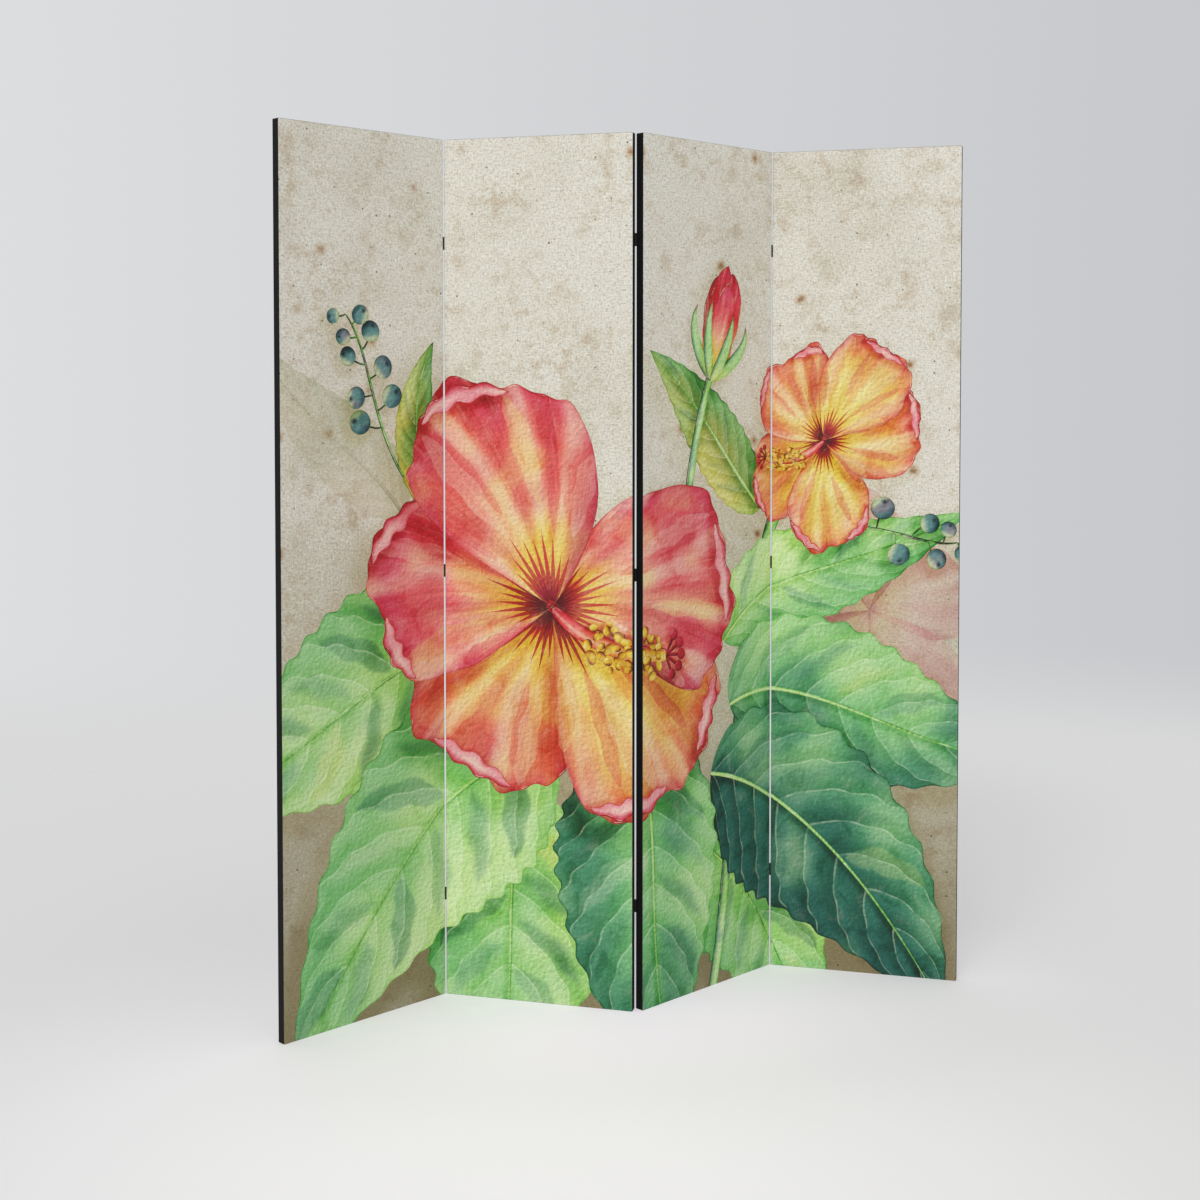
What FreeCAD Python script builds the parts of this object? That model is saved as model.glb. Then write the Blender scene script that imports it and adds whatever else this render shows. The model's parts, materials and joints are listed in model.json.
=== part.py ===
"""Folding screen of four panels, standing half folded as a zigzag.

Each panel is a timber frame of two stiles and three rails, with a printed canvas on its front, a
black cloth on its back and black tape round its four edges. Three steel butt hinges join each
panel to the next. Their pins stand in front of the canvases at the first and third joints and
behind the back cloths at the second, so the panels fold flat against each other in turn.

Row frame: X runs along the screen from the first panel to the last, Y from the printed side
towards the back, and Z up. The origin is on the floor, in the middle of the screen's outline.
Panel frame: X runs along the panel from its left edge, Y from the canvas towards the back, Z up.
Lengths are in millimetres and angles in degrees.
"""

import FreeCAD, Part

import math
import os

# Panels
panel_count = 4
panel_height = 1800.0
panel_width = 406.0
canvas_thickness = 0.4
back_cloth_thickness = 0.4
tape_thickness = 0.4
fold_from_flat = 60.0

# Timber frame
timber_depth = 18.0
stile_width = 30.0
end_rail_height = 40.0
middle_rail_height = 30.0
tenon_length = 12.0
tenon_thickness = 6.0
tenon_shoulder = 8.0
mortise_clearance = 0.1
mortise_end_space = 1.0

# Hinges
hinge_inset = 215.0
leaf_height = 26.0
leaf_thickness = 1.0
leaf_margin = 6.0
leaf_corner_radius = 1.5
closed_leaf_gap = 0.5
pin_stand_off = 1.0
pin_radius = 0.7
pin_clearance = 0.05
pin_head_overhang = 0.45
pin_head_height = 0.5
corner_swing_clearance = 0.2
knuckle_count = 5
knuckle_gap = 0.2
notch_clearance = 0.3

# Hinge screws
screws_per_leaf = 2
screw_length = 12.0
screw_point_length = 3.0
screw_radius = 1.1
screw_head_overhang = 0.9
screw_hole_clearance = 0.05
recess_length = 2.4
recess_width = 0.6
recess_depth = 0.5

# How far a cut runs past the face it starts from, and how closely two places must match
overrun = 1.0
match_tolerance = 0.001

# Sizes that follow from the ones above
panel_depth = canvas_thickness + timber_depth + back_cloth_thickness
inner_span = (tape_thickness, panel_width - tape_thickness)
timber_span = (canvas_thickness, canvas_thickness + timber_depth)
inner_z_span = (tape_thickness, panel_height - tape_thickness)
pin_offset = leaf_thickness + closed_leaf_gap / 2
knuckle_radius = math.hypot(pin_offset, pin_stand_off) - corner_swing_clearance
knuckle_pitch = leaf_height / knuckle_count
notch_depth = knuckle_radius + notch_clearance
leaf_end = pin_stand_off + panel_depth - leaf_margin
screw_setback = (notch_depth + leaf_end) / 2
screw_pitch = leaf_height / screws_per_leaf
bottom_rail_middle = tape_thickness + end_rail_height / 2
rails = {
    "bottom_rail": (bottom_rail_middle, end_rail_height),
    "middle_rail": (panel_height / 2, middle_rail_height),
    "top_rail": (panel_height - bottom_rail_middle, end_rail_height),
}
hinge_middles = {
    "bottom": hinge_inset,
    "middle": panel_height / 2,
    "top": panel_height - hinge_inset,
}
up = FreeCAD.Vector(0, 0, 1)


def slab(x_span, y_span, z_span):
    """A box between two coordinates on each axis, given in either order."""
    spans = (x_span, y_span, z_span)
    sizes = [abs(span[1] - span[0]) for span in spans]
    lowest = FreeCAD.Vector(*[min(span) for span in spans])
    return Part.makeBox(*sizes, lowest)


def widened(span, clearance):
    return span[0] - clearance, span[1] + clearance


class HingedEdge:
    """One upright edge of a panel that carries hinges, in the panel's frame.

    A point on it is given by its distance out from the tape, its distance from the pin's axis
    across the panel's edge, and its height.
    """

    def __init__(self, side, pin_side):
        self.tape_x = panel_width if side == "right" else 0
        self.outward = 1 if side == "right" else -1
        self.across = 1 if pin_side == "front" else -1
        self.pin_y = -pin_stand_off if pin_side == "front" else panel_depth + pin_stand_off

    def point(self, out, across, height):
        x = self.tape_x + self.outward * out
        y = self.pin_y + self.across * across
        return FreeCAD.Vector(x, y, height)

    def slab(self, out_span, across_span, z_span):
        starts = self.point(out_span[0], across_span[0], z_span[0])
        ends = self.point(out_span[1], across_span[1], z_span[1])
        return slab((starts.x, ends.x), (starts.y, ends.y), (starts.z, ends.z))


def joint_pin_side(joint):
    """Joints are counted from 0. The pins of the even ones stand in front, of the odd ones behind."""
    return "front" if joint % 2 == 0 else "back"


def hinged_edges(panel):
    """The hinged edges of a panel, counted from 0, by side."""
    edges = {}
    if panel > 0:
        edges["left"] = HingedEdge("left", joint_pin_side(panel - 1))
    if panel < panel_count - 1:
        edges["right"] = HingedEdge("right", joint_pin_side(panel))
    return edges


def screw_blank(edge, height, clearance):
    """A countersunk screw with no recess, its head flush with the leaf, all round wider by clearance."""
    inward = FreeCAD.Vector(-edge.outward, 0, 0)
    head_start = edge.point(leaf_thickness, screw_setback, height)
    head_radius = screw_radius + screw_head_overhang + clearance
    shank_radius = screw_radius + clearance
    head_length = screw_head_overhang
    shank_length = screw_length - head_length - screw_point_length
    shank_start = head_start + inward * head_length
    point_start = shank_start + inward * shank_length
    point_length = screw_point_length + clearance
    head = Part.makeCone(head_radius, shank_radius, head_length, head_start, inward)
    shank = Part.makeCylinder(shank_radius, shank_length, shank_start, inward)
    point = Part.makeCone(shank_radius, clearance, point_length, point_start, inward)
    return head.fuse([shank, point]).removeSplitter()


def screw(edge, height):
    """One countersunk screw with a cross recess in its head."""
    out_span = (leaf_thickness - recess_depth, leaf_thickness + overrun)
    made = screw_blank(edge, height, 0)
    for across_size, z_size in ((recess_length, recess_width), (recess_width, recess_length)):
        across_span = widened((screw_setback, screw_setback), across_size / 2)
        z_span = widened((height, height), z_size / 2)
        made = made.cut(edge.slab(out_span, across_span, z_span))
    return made


def screw_heights(hinge_middle):
    """The screws share the leaf's height evenly."""
    first = hinge_middle - leaf_height / 2 + screw_pitch / 2
    return [first + i * screw_pitch for i in range(screws_per_leaf)]


def panel_screw_places(panel):
    """Edge and height of every hinge screw in a panel."""
    places = []
    for edge in hinged_edges(panel).values():
        for middle in hinge_middles.values():
            places += [(edge, height) for height in screw_heights(middle)]
    return places


def screw_holes(panel):
    return [screw_blank(edge, height, screw_hole_clearance) for edge, height in panel_screw_places(panel)]


def leaf_plate(edge, low):
    """The leaf's flat plate, with its two corners rounded on the side away from the pin."""
    plate = edge.slab((0, leaf_thickness), (notch_depth, leaf_end), (low, low + leaf_height))
    end_y = edge.point(0, leaf_end, low).y

    def is_far_corner(corner):
        box = corner.BoundBox
        lies_on_end = abs(box.YMin - end_y) < match_tolerance and abs(box.YMax - end_y) < match_tolerance
        return lies_on_end and box.ZLength < match_tolerance

    return plate.makeFillet(leaf_corner_radius, [e for e in plate.Edges if is_far_corner(e)])


def hinge_leaf(edge, middle, first_knuckle):
    """One hinge leaf: its plate on the tape, and every second knuckle from first_knuckle up."""
    low = middle - leaf_height / 2
    pieces = []
    for index in range(first_knuckle, knuckle_count, 2):
        bottom = low + index * knuckle_pitch + knuckle_gap / 2
        height = knuckle_pitch - knuckle_gap
        neck = edge.slab((0, leaf_thickness), (0, notch_depth), (bottom, bottom + height))
        barrel = Part.makeCylinder(knuckle_radius, height, edge.point(pin_offset, 0, bottom), up)
        pieces += [neck, barrel]
    made = leaf_plate(edge, low).fuse(pieces).removeSplitter()
    bore = Part.makeCylinder(pin_radius + pin_clearance, leaf_height, edge.point(pin_offset, 0, low), up)
    holes = [screw_blank(edge, height, screw_hole_clearance) for height in screw_heights(middle)]
    return made.cut([bore] + holes)


def hinge_pin(edge, middle):
    """A pin the length of the leaf, with a flat head on each end to hold it in."""
    low = middle - leaf_height / 2
    shaft = Part.makeCylinder(pin_radius, leaf_height, edge.point(pin_offset, 0, low), up)
    head_radius = pin_radius + pin_head_overhang
    head_bottoms = (low - pin_head_height, low + leaf_height)
    heads = [
        Part.makeCylinder(head_radius, pin_head_height, edge.point(pin_offset, 0, bottom), up)
        for bottom in head_bottoms
    ]
    return shaft.fuse(heads).removeSplitter()


def tenon_spans(rail_middle, rail_height):
    """Across and up spans of a rail's tenons, in the middle of the timber's depth."""
    timber_middle = (timber_span[0] + timber_span[1]) / 2
    y_span = widened((timber_middle, timber_middle), tenon_thickness / 2)
    z_span = widened((rail_middle, rail_middle), rail_height / 2 - tenon_shoulder)
    return y_span, z_span


def stile(side, holes):
    """One upright of the frame, with a blind mortise for each rail and pilot holes for screws."""
    outer = inner_span[0] if side == "left" else inner_span[1]
    inward = 1 if side == "left" else -1
    inner = outer + inward * stile_width
    made = slab((outer, inner), timber_span, inner_z_span)
    mortise_x_span = (inner - inward * (tenon_length + mortise_end_space), inner + inward * overrun)
    for rail_middle, rail_height in rails.values():
        y_span, z_span = tenon_spans(rail_middle, rail_height)
        clear_y_span = widened(y_span, mortise_clearance)
        clear_z_span = widened(z_span, mortise_clearance)
        made = made.cut(slab(mortise_x_span, clear_y_span, clear_z_span))
    return made.cut(holes) if holes else made


def rail(rail_middle, rail_height):
    """One crosswise member between the stiles, with a tenon on each end."""
    x_span = widened(inner_span, -stile_width)
    z_span = widened((rail_middle, rail_middle), rail_height / 2)
    y_tenon_span, z_tenon_span = tenon_spans(rail_middle, rail_height)
    tenons = slab(widened(x_span, tenon_length), y_tenon_span, z_tenon_span)
    return slab(x_span, timber_span, z_span).fuse(tenons).removeSplitter()


def edge_tape(holes):
    """Four strips of tape: one down each side, and one over the top and foot between them."""
    y_span = (0, panel_depth)
    strips = []
    for x_side in ((0, inner_span[0]), (inner_span[1], panel_width)):
        strip = slab(x_side, y_span, (0, panel_height))
        strips.append(strip.cut(holes) if holes else strip)
    for z_side in ((0, inner_z_span[0]), (inner_z_span[1], panel_height)):
        strips.append(slab(inner_span, y_span, z_side))
    return Part.makeCompound(strips)


def panel_pieces(panel):
    """Every piece that is fixed to one panel, by node name, in the panel's frame."""
    name = f"panel_{panel + 1}"
    holes = screw_holes(panel)
    back_span = (timber_span[1], panel_depth)
    pieces = {
        f"{name}_left_stile": stile("left", holes),
        f"{name}_right_stile": stile("right", holes),
        f"{name}_print_canvas": slab(inner_span, (0, canvas_thickness), inner_z_span),
        f"{name}_back_cloth": slab(inner_span, back_span, inner_z_span),
        f"{name}_edge_tape": edge_tape(holes),
    }
    for rail_name, (rail_middle, rail_height) in rails.items():
        pieces[f"{name}_{rail_name}"] = rail(rail_middle, rail_height)
    screws = [screw(edge, height) for edge, height in panel_screw_places(panel)]
    pieces[f"{name}_hinge_screws"] = Part.makeCompound(screws)
    for side, edge in hinged_edges(panel).items():
        left_panel = panel if side == "right" else panel - 1
        hinges = f"hinge_{left_panel + 1}{left_panel + 2}"
        leaf_side = "left" if side == "right" else "right"
        first_knuckle = 0 if leaf_side == "left" else 1
        for place, middle in hinge_middles.items():
            pieces[f"{hinges}_{place}_{leaf_side}_leaf"] = hinge_leaf(edge, middle, first_knuckle)
        if leaf_side == "left":
            pins = [hinge_pin(edge, middle) for middle in hinge_middles.values()]
            pieces[f"{hinges}_pins"] = Part.makeCompound(pins)
    return pieces


def panel_turn(panel):
    """A panel's angle from the run of the screen: half the fold, by turns towards and away."""
    return fold_from_flat / 2 if panel % 2 == 0 else -fold_from_flat / 2


def chained_placements():
    """Placement of each panel, so that the pin's axis is one line in both panels of a joint."""
    placements = []
    position = FreeCAD.Vector(0, 0, 0)
    for panel in range(panel_count):
        rotation = FreeCAD.Rotation(up, panel_turn(panel))
        edges = hinged_edges(panel)
        if panel > 0:
            position = pin_place - rotation.multVec(edges["left"].point(pin_offset, 0, 0))
        placements.append(FreeCAD.Placement(position, rotation))
        if "right" in edges:
            pin_place = placements[-1].multVec(edges["right"].point(pin_offset, 0, 0))
    return placements


def centred_placements():
    """The chained placements, moved so that the origin is in the middle of the panels' outline."""
    placements = chained_placements()
    corners = [
        placement.multVec(FreeCAD.Vector(x, y, 0))
        for placement in placements
        for x in (0, panel_width)
        for y in (0, panel_depth)
    ]
    middle_x = (min(c.x for c in corners) + max(c.x for c in corners)) / 2
    middle_y = (min(c.y for c in corners) + max(c.y for c in corners)) / 2
    shift = FreeCAD.Placement(FreeCAD.Vector(-middle_x, -middle_y, 0), FreeCAD.Rotation())
    return [shift.multiply(placement) for placement in placements]


panel_placements = centred_placements()
os.makedirs("parts", exist_ok=True)
for panel, placement in enumerate(panel_placements):
    for node, shape in panel_pieces(panel).items():
        shape.Placement = placement.multiply(shape.Placement)
        shape.exportStep(f"parts/{node}.step")
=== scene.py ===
"""Looks of the folding screen: a printed canvas, black cloth, tape, hinges and timber.

Everything is in metres in the screen's own frame: X along the screen, Y from the printed side to
the back, Z up from the floor. The print runs across all four panels, and has its own
coordinates in metres: s from the print's left edge, t up from its lower edge.
"""

import json

import bpy
import numpy as np
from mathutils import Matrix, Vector
from mathutils.geometry import delaunay_2d_cdt

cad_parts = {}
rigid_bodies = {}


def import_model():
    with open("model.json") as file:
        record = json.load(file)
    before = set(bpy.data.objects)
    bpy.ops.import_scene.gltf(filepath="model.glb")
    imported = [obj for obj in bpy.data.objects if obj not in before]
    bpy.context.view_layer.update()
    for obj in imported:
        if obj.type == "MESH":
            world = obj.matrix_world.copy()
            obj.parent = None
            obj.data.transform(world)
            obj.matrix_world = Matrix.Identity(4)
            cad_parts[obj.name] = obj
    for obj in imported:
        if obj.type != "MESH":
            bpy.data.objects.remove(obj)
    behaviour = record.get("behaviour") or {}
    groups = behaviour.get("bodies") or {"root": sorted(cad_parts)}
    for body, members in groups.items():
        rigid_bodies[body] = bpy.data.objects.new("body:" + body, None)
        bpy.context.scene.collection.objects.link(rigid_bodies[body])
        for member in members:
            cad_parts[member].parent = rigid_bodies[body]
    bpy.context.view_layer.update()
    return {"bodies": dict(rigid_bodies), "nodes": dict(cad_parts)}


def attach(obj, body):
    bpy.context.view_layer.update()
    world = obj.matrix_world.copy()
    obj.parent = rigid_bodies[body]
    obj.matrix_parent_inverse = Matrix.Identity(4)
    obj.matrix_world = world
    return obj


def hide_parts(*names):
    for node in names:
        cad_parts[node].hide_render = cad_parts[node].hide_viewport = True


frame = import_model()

panel_names = sorted(frame["bodies"])
full_turn = 2 * np.pi


# Colours


def linear(colour):
    """Display colour, 0 to 255 for each of red, green and blue, as linear light from 0 to 1."""
    share = np.asarray(colour, float) / 255
    return np.where(share <= 0.04045, share / 12.92, ((share + 0.055) / 1.055) ** 2.4)


def opaque(*colour):
    """A display colour as a shader takes it."""
    return (*linear(colour), 1.0)


# Shader nodes


def operator(operation):
    """A Math node's operation as two methods of Value: with the value on its left, and on its right."""
    return (
        lambda self, other: self.owner.math(operation, self, other),
        lambda self, other: self.owner.math(operation, other, self),
    )


class Value:
    """A shader value. Arithmetic on it adds Math nodes to its material or world."""

    def __init__(self, owner, socket):
        self.owner = owner
        self.socket = socket

    __add__, __radd__ = operator("ADD")
    __sub__, __rsub__ = operator("SUBTRACT")
    __mul__, __rmul__ = operator("MULTIPLY")
    __pow__, __rpow__ = operator("POWER")


class Nodes:
    """The nodes of one material or world."""

    def __init__(self, tree):
        self.nodes = tree.nodes
        self.links = tree.links

    def node(self, kind, settings=None, sockets=None, outputs=(0,)):
        """Adds a node, sets it up, and fills its sockets with values or links. Gives its output, or
        the list of them where several are asked for."""
        made = self.nodes.new(kind)
        for name, value in (settings or {}).items():
            setattr(made, name, value)
        self.fill(made, sockets or {})
        found = [Value(self, made.outputs[name]) for name in outputs]
        return found if len(found) > 1 else found[0]

    def fill(self, node, sockets):
        """Links a node's sockets to what is a Value, and sets the others."""
        for name, value in sockets.items():
            if isinstance(value, Value):
                self.links.new(value.socket, node.inputs[name])
            else:
                node.inputs[name].default_value = value

    def math(self, operation, *values):
        """A Math node's result."""
        return self.node("ShaderNodeMath", {"operation": operation}, dict(enumerate(values)))

    def place(self):
        """Object coordinates, in metres."""
        return self.node("ShaderNodeTexCoord", outputs=["Object"])

    def layout(self, name):
        """A named UV map of the piece."""
        return self.node("ShaderNodeUVMap", {"uv_map": name})

    def stretched(self, vector, scale=(1, 1, 1), offset=(0, 0, 0)):
        """A place scaled along each axis and then shifted."""
        return self.node("ShaderNodeMapping", {}, {"Vector": vector, "Scale": scale, "Location": offset})

    def noise(self, vector, scale, detail=3.0, roughness=0.5, distortion=0.0):
        """Cloudy noise from 0 to 1, with about scale clouds to the metre. Each of its detail steps is
        twice as fine, and as strong as the last one times roughness."""
        sockets = {"Vector": vector, "Scale": scale, "Detail": detail}
        sockets |= {"Roughness": roughness, "Distortion": distortion}
        return self.node("ShaderNodeTexNoise", {}, sockets)

    def fade(self, value, start, end):
        """0 up to start, 1 from end, and a smooth rise or fall between them."""
        sockets = {"Value": value, "From Min": start, "From Max": end}
        return self.node("ShaderNodeMapRange", {"interpolation_type": "SMOOTHSTEP"}, sockets)

    def mix(self, share, first, second, blend="MIX"):
        """The first colour with a share of the second blended in."""
        settings = {"data_type": "RGBA", "blend_type": blend}
        return self.node("ShaderNodeMix", settings, {0: share, 6: first, 7: second}, outputs=[2])

    def washed(self, colour, blend, *washes):
        """A colour with washes laid over it in turn, each a pair of its share and its own colour."""
        for share, wash in washes:
            colour = self.mix(share, colour, wash, blend)
        return colour

    def cells(self, vector, scale):
        """Distance to the nearest of scattered centres, in cell widths, and that cell's random share."""
        settings, sockets = {"voronoi_dimensions": "2D"}, {"Vector": vector, "Scale": scale}
        gap, colour = self.node("ShaderNodeTexVoronoi", settings, sockets, ["Distance", "Color"])
        return gap, self.split(colour)[0]

    def relief(self, height, strength, distance):
        """A normal from a height that runs from 0 to 1, over distance metres."""
        sockets = {"Height": height, "Strength": strength, "Distance": distance}
        return self.node("ShaderNodeBump", {}, sockets)

    def split(self, vector):
        """The three parts of a vector."""
        return self.node("ShaderNodeSeparateXYZ", {}, {0: vector}, outputs=(0, 1, 2))

    def looked_at(self):
        """1 where the camera, a reflection or a view through glass looks, 0 for what lights a surface."""
        rays = ("Is Camera Ray", "Is Glossy Ray", "Is Transmission Ray")
        camera, glossy, through = self.node("ShaderNodeLightPath", outputs=rays)
        return self.node("ShaderNodeClamp", {}, {"Value": camera + glossy + through})


class Finish(Nodes):
    """One material: a surface shader, and the nodes that feed it."""

    def __init__(self, name, **constants):
        self.material = bpy.data.materials.new(name)
        self.material.use_nodes = True
        super().__init__(self.material.node_tree)
        self.surface = self.nodes["Principled BSDF"]
        self.wear(**constants)

    def wear(self, **sockets):
        """Sets or feeds the surface's sockets: Base_Color, Roughness, Normal and the like."""
        self.fill(self.surface, {name.replace("_", " "): value for name, value in sockets.items()})


def put_on(piece, finish):
    """Gives a piece one finish all over."""
    piece.data.materials.clear()
    piece.data.materials.append(finish.material)


# The print: painted shapes, each with its outline and a place along and across it

# Points along a spine, and the least width or reach in metres that a place is measured against
spine_points = 97
least_width = 1e-5
least_reach = 1e-4


def turned(points, degrees):
    """Points turned about zero, anticlockwise."""
    angle = np.radians(degrees)
    cos, sin = np.cos(angle), np.sin(angle)
    return np.asarray(points, float) @ np.array([[cos, sin], [-sin, cos]])


def smooth(value, start, end):
    """0 up to start, 1 from end, and a smooth rise between them."""
    share = np.clip((value - start) / (end - start), 0, 1)
    return share * share * (3 - 2 * share)


def nearest(points, line):
    """For each point, which of a line's points is nearest, and the gap to it in metres."""
    which, gap = np.empty(len(points), int), np.empty(len(points))
    at_once = 4000
    for start in range(0, len(points), at_once):
        part = slice(start, start + at_once)
        squares = ((points[part, None, :] - line[None, :, :]) ** 2).sum(2)
        which[part], gap[part] = squares.argmin(1), np.sqrt(squares.min(1))
    return which, gap


class Blade:
    """A shape about a curved spine, such as a leaf, stem, sepal or slim petal.

    The spine is a Bezier curve through its end points. The half width at share u of it is
    half_width times u to the power base times (1 - u) to the power tip, scaled to 1 at its widest,
    with a ripple of sine waves on each side. A vein's count at u and share v across is side_veins
    times u, less vein_slant times |v| to the power vein_curve.
    """

    side_veins, vein_slant, vein_curve = 9, 2.2, 1.3

    def __init__(self, spine, half_width, base=0.6, tip=0.9, ripple=0.0, ripples=9, phase=0.0):
        spine = np.asarray(spine, float)
        self.half_width, self.base, self.tip = half_width, base, tip
        self.ripple, self.ripples, self.phase = ripple, ripples, phase
        u = np.linspace(0, 1, spine_points)[:, None]
        if len(spine) == 3:
            start, middle, end = spine
            self.line = (1 - u) ** 2 * start + 2 * u * (1 - u) * middle + u**2 * end
        else:
            start, first, second, end = spine
            inner = 3 * u * (1 - u) ** 2 * first + 3 * u**2 * (1 - u) * second
            self.line = (1 - u) ** 3 * start + inner + u**3 * end
        step = np.gradient(self.line, axis=0)
        self.length = float(np.hypot(*np.diff(self.line, axis=0).T).sum())
        self.tangent = step / np.hypot(*step.T)[:, None]
        self.normal = self.tangent @ np.array([[0, 1], [-1, 0]])

    def width(self, u, side):
        widest = self.base / (self.base + self.tip)
        full = widest**self.base * (1 - widest) ** self.tip
        u = np.clip(u, 0, 1)
        waves = np.sin(full_turn * (self.ripples * u + self.phase) + 1.3 * side)
        return self.half_width * u**self.base * (1 - u) ** self.tip / full * (1 + self.ripple * waves)

    def at(self, u):
        """Points and normals of the spine at shares u."""
        samples = np.linspace(0, 1, spine_points)
        point = np.column_stack([np.interp(u, samples, self.line[:, k]) for k in (0, 1)])
        normal = np.column_stack([np.interp(u, samples, self.normal[:, k]) for k in (0, 1)])
        return point, normal

    def outline(self, spacing):
        count = int(np.clip(self.length / spacing, 8, 120))
        u = (1 - np.cos(np.linspace(0, np.pi, count + 1))) / 2
        point, normal = self.at(u)
        left = point + normal * self.width(u, 1)[:, None]
        right = point - normal * self.width(u, -1)[:, None]
        return np.vstack([left, right[-2:0:-1]])

    def locate(self, points):
        """Share along, share across from -1 to 1, metres along, across and from the edge, and the
        count of side veins up to here."""
        near, _ = nearest(points, self.line)
        gap = points - self.line[near]
        step = self.length / (spine_points - 1)
        along = (gap * self.tangent[near]).sum(1)
        across = (gap * self.normal[near]).sum(1)
        u = np.clip((near * step + along) / self.length, 0, 1)
        width = np.maximum(self.width(u, np.sign(across)), least_width)
        v = np.clip(across / width, -1, 1)
        edge = np.minimum((1 - abs(v)) * width, (1 - u) * self.length)
        vein = self.side_veins * u - self.vein_slant * abs(v) ** self.vein_curve
        return u, v, u * self.length, across, edge, vein


class Fan:
    """A broad petal whose veins spread from its foot, drawn in polar form.

    At share v across it, from -1 to 1 over twice half_angle, its margin lies at length times
    (1 - |v| to the power flat) to the power drop, times its ruffles: sine waves of v. It bends
    sideways by bend degrees towards its margin, and the flower's tilt squeezes it across squeeze_turn.
    Its veins are 1 / veins apart in v. Metres across it are v times length times spread, and the
    edge beside its foot counts as foot_edge times length away.
    """

    veins, spread, foot_edge = 13, 0.55, 0.15

    def __init__(self, foot, turn, length, half_angle, flat, drop, ruffles, squeeze, squeeze_turn, bend=0):
        self.foot, self.turn, self.length = np.asarray(foot, float), turn, length
        self.half_angle, self.flat, self.drop, self.bend = half_angle, flat, drop, bend
        self.ruffles, self.squeeze, self.squeeze_turn = ruffles, squeeze, squeeze_turn

    def reach(self, v):
        body = (1 - np.clip(abs(v), 0, 1) ** self.flat) ** self.drop
        waves = sum(size * np.sin(count * v + start) for count, size, start in self.ruffles)
        return self.length * body * (1 + waves)

    def point(self, u, v):
        """The print's point at share u from foot to margin and share v across."""
        radius = u * self.reach(v)
        angle = np.radians(self.half_angle * v + self.bend * radius / self.length)
        flat = turned(np.column_stack([radius * np.cos(angle), radius * np.sin(angle)]), self.turn)
        flat = turned(flat, -self.squeeze_turn) * (self.squeeze, 1)
        return self.foot + turned(flat, self.squeeze_turn)

    def outline(self, spacing):
        count = int(np.clip(3.2 * self.length / spacing, 24, 220))
        share = np.linspace(-1, 1, count + 1)[:-1]
        v = np.sign(share) * (1 - (1 - abs(share)) ** 1.35)
        return self.point(1.0, v)

    def locate(self, points):
        gap = turned(points - self.foot, -self.squeeze_turn) / (self.squeeze, 1)
        gap = turned(turned(gap, self.squeeze_turn), -self.turn)
        radius = np.hypot(*gap.T)
        angle = np.degrees(np.arctan2(gap[:, 1], gap[:, 0])) - self.bend * radius / self.length
        v = np.clip(angle / self.half_angle, -1, 1)
        reach = np.maximum(self.reach(v), least_reach)
        u = np.clip(radius / reach, 0, 1)
        side = (1 - abs(v)) * radius * np.radians(self.half_angle)
        edge = np.minimum((1 - u) * reach, side + self.foot_edge * self.length * (1 - u))
        return u, v, u * self.length, v * self.length * self.spread, edge, self.veins * v


class Disc:
    """A round painted shape, slightly out of true, such as a berry or an anther."""

    def __init__(self, middle, radius, stretch=1.0, turn=0):
        self.middle, self.radius, self.stretch, self.turn = np.asarray(middle, float), radius, stretch, turn

    def outline(self, spacing):
        count = int(np.clip(6.3 * self.radius / spacing, 10, 60))
        angle = np.linspace(0, full_turn, count, endpoint=False)
        round_points = np.column_stack([np.cos(angle) * self.stretch, np.sin(angle)])
        return self.middle + self.radius * turned(round_points, self.turn)

    def locate(self, points):
        gap = turned(points - self.middle, -self.turn) / (self.radius * self.stretch, self.radius)
        radius = np.clip(np.hypot(*gap.T), 0, 1)
        light = gap @ np.array([-0.5, 0.6])
        return radius, light, *(gap.T * self.radius), (1 - radius) * self.radius, radius


# Paints, as display colours from 0 to 255

paper = (225, 222, 210)
paper_brown = (143, 134, 106)
crimson = (196, 34, 60)
wine = (142, 22, 52)
rose = (220, 76, 104)
pink = (234, 150, 160)
coral = (229, 88, 94)
salmon = (237, 132, 126)
orange = (235, 122, 80)
peach = (240, 184, 150)
ochre = (212, 168, 70)
amber = (170, 92, 30)
yellow = (236, 210, 88)
pale_yellow = (240, 230, 146)
cream = (242, 232, 206)
olive = (166, 176, 90)
leaf_pale = (220, 238, 180)
leaf_light = (184, 224, 156)
leaf_mid = (128, 194, 130)
leaf_deep = (50, 118, 97)
leaf_teal = (30, 90, 82)
berry_blue = (96, 142, 140)
berry_pale = (208, 216, 176)
berry_plum = (160, 122, 142)
berry_dark = (44, 82, 92)
berry_ink = (34, 52, 58)
faded_rose = (196, 140, 126)


def plain(values, places):
    """The same colour, or row of values, at every place."""
    return np.tile(np.asarray(values, float), (len(places), 1))


def blended(stops, place):
    """Colour at each place from (place, colour) stops, with straight steps between them."""
    places = [stop[0] for stop in stops]
    return np.column_stack([np.interp(place, places, [stop[1][k] for stop in stops]) for k in range(3)])


def towards(colour, other, share):
    """Colours moved by a share of the way to another."""
    share = np.asarray(share, float)[:, None]
    return colour * (1 - share) + np.asarray(other, float) * share


def ragged(v, seed):
    """A slow uneven wave of v, about one unit high, different for each seed."""
    return (
        0.5 * np.sin(5.1 * v + 1.7 * seed)
        + 0.3 * np.sin(11.3 * v + 2.9 * seed + 1)
        + 0.2 * np.sin(23.7 * v + 0.7 * seed + 2)
    )


def clouds(points, patch, seed):
    """A smooth uneven field from about -1 to 1, in patches of that many metres: a sum of plane waves."""
    total = 0
    for k in range(7):
        way = turned([[1.0, 0.0]], 137.5 * k + 40 * seed)[0]
        waves = full_turn * (0.55 + 0.17 * k) / patch
        total = total + np.sin(waves * (points @ way) + 1.9 * k * k + 3.1 * seed)
    return total / 2.9


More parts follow.
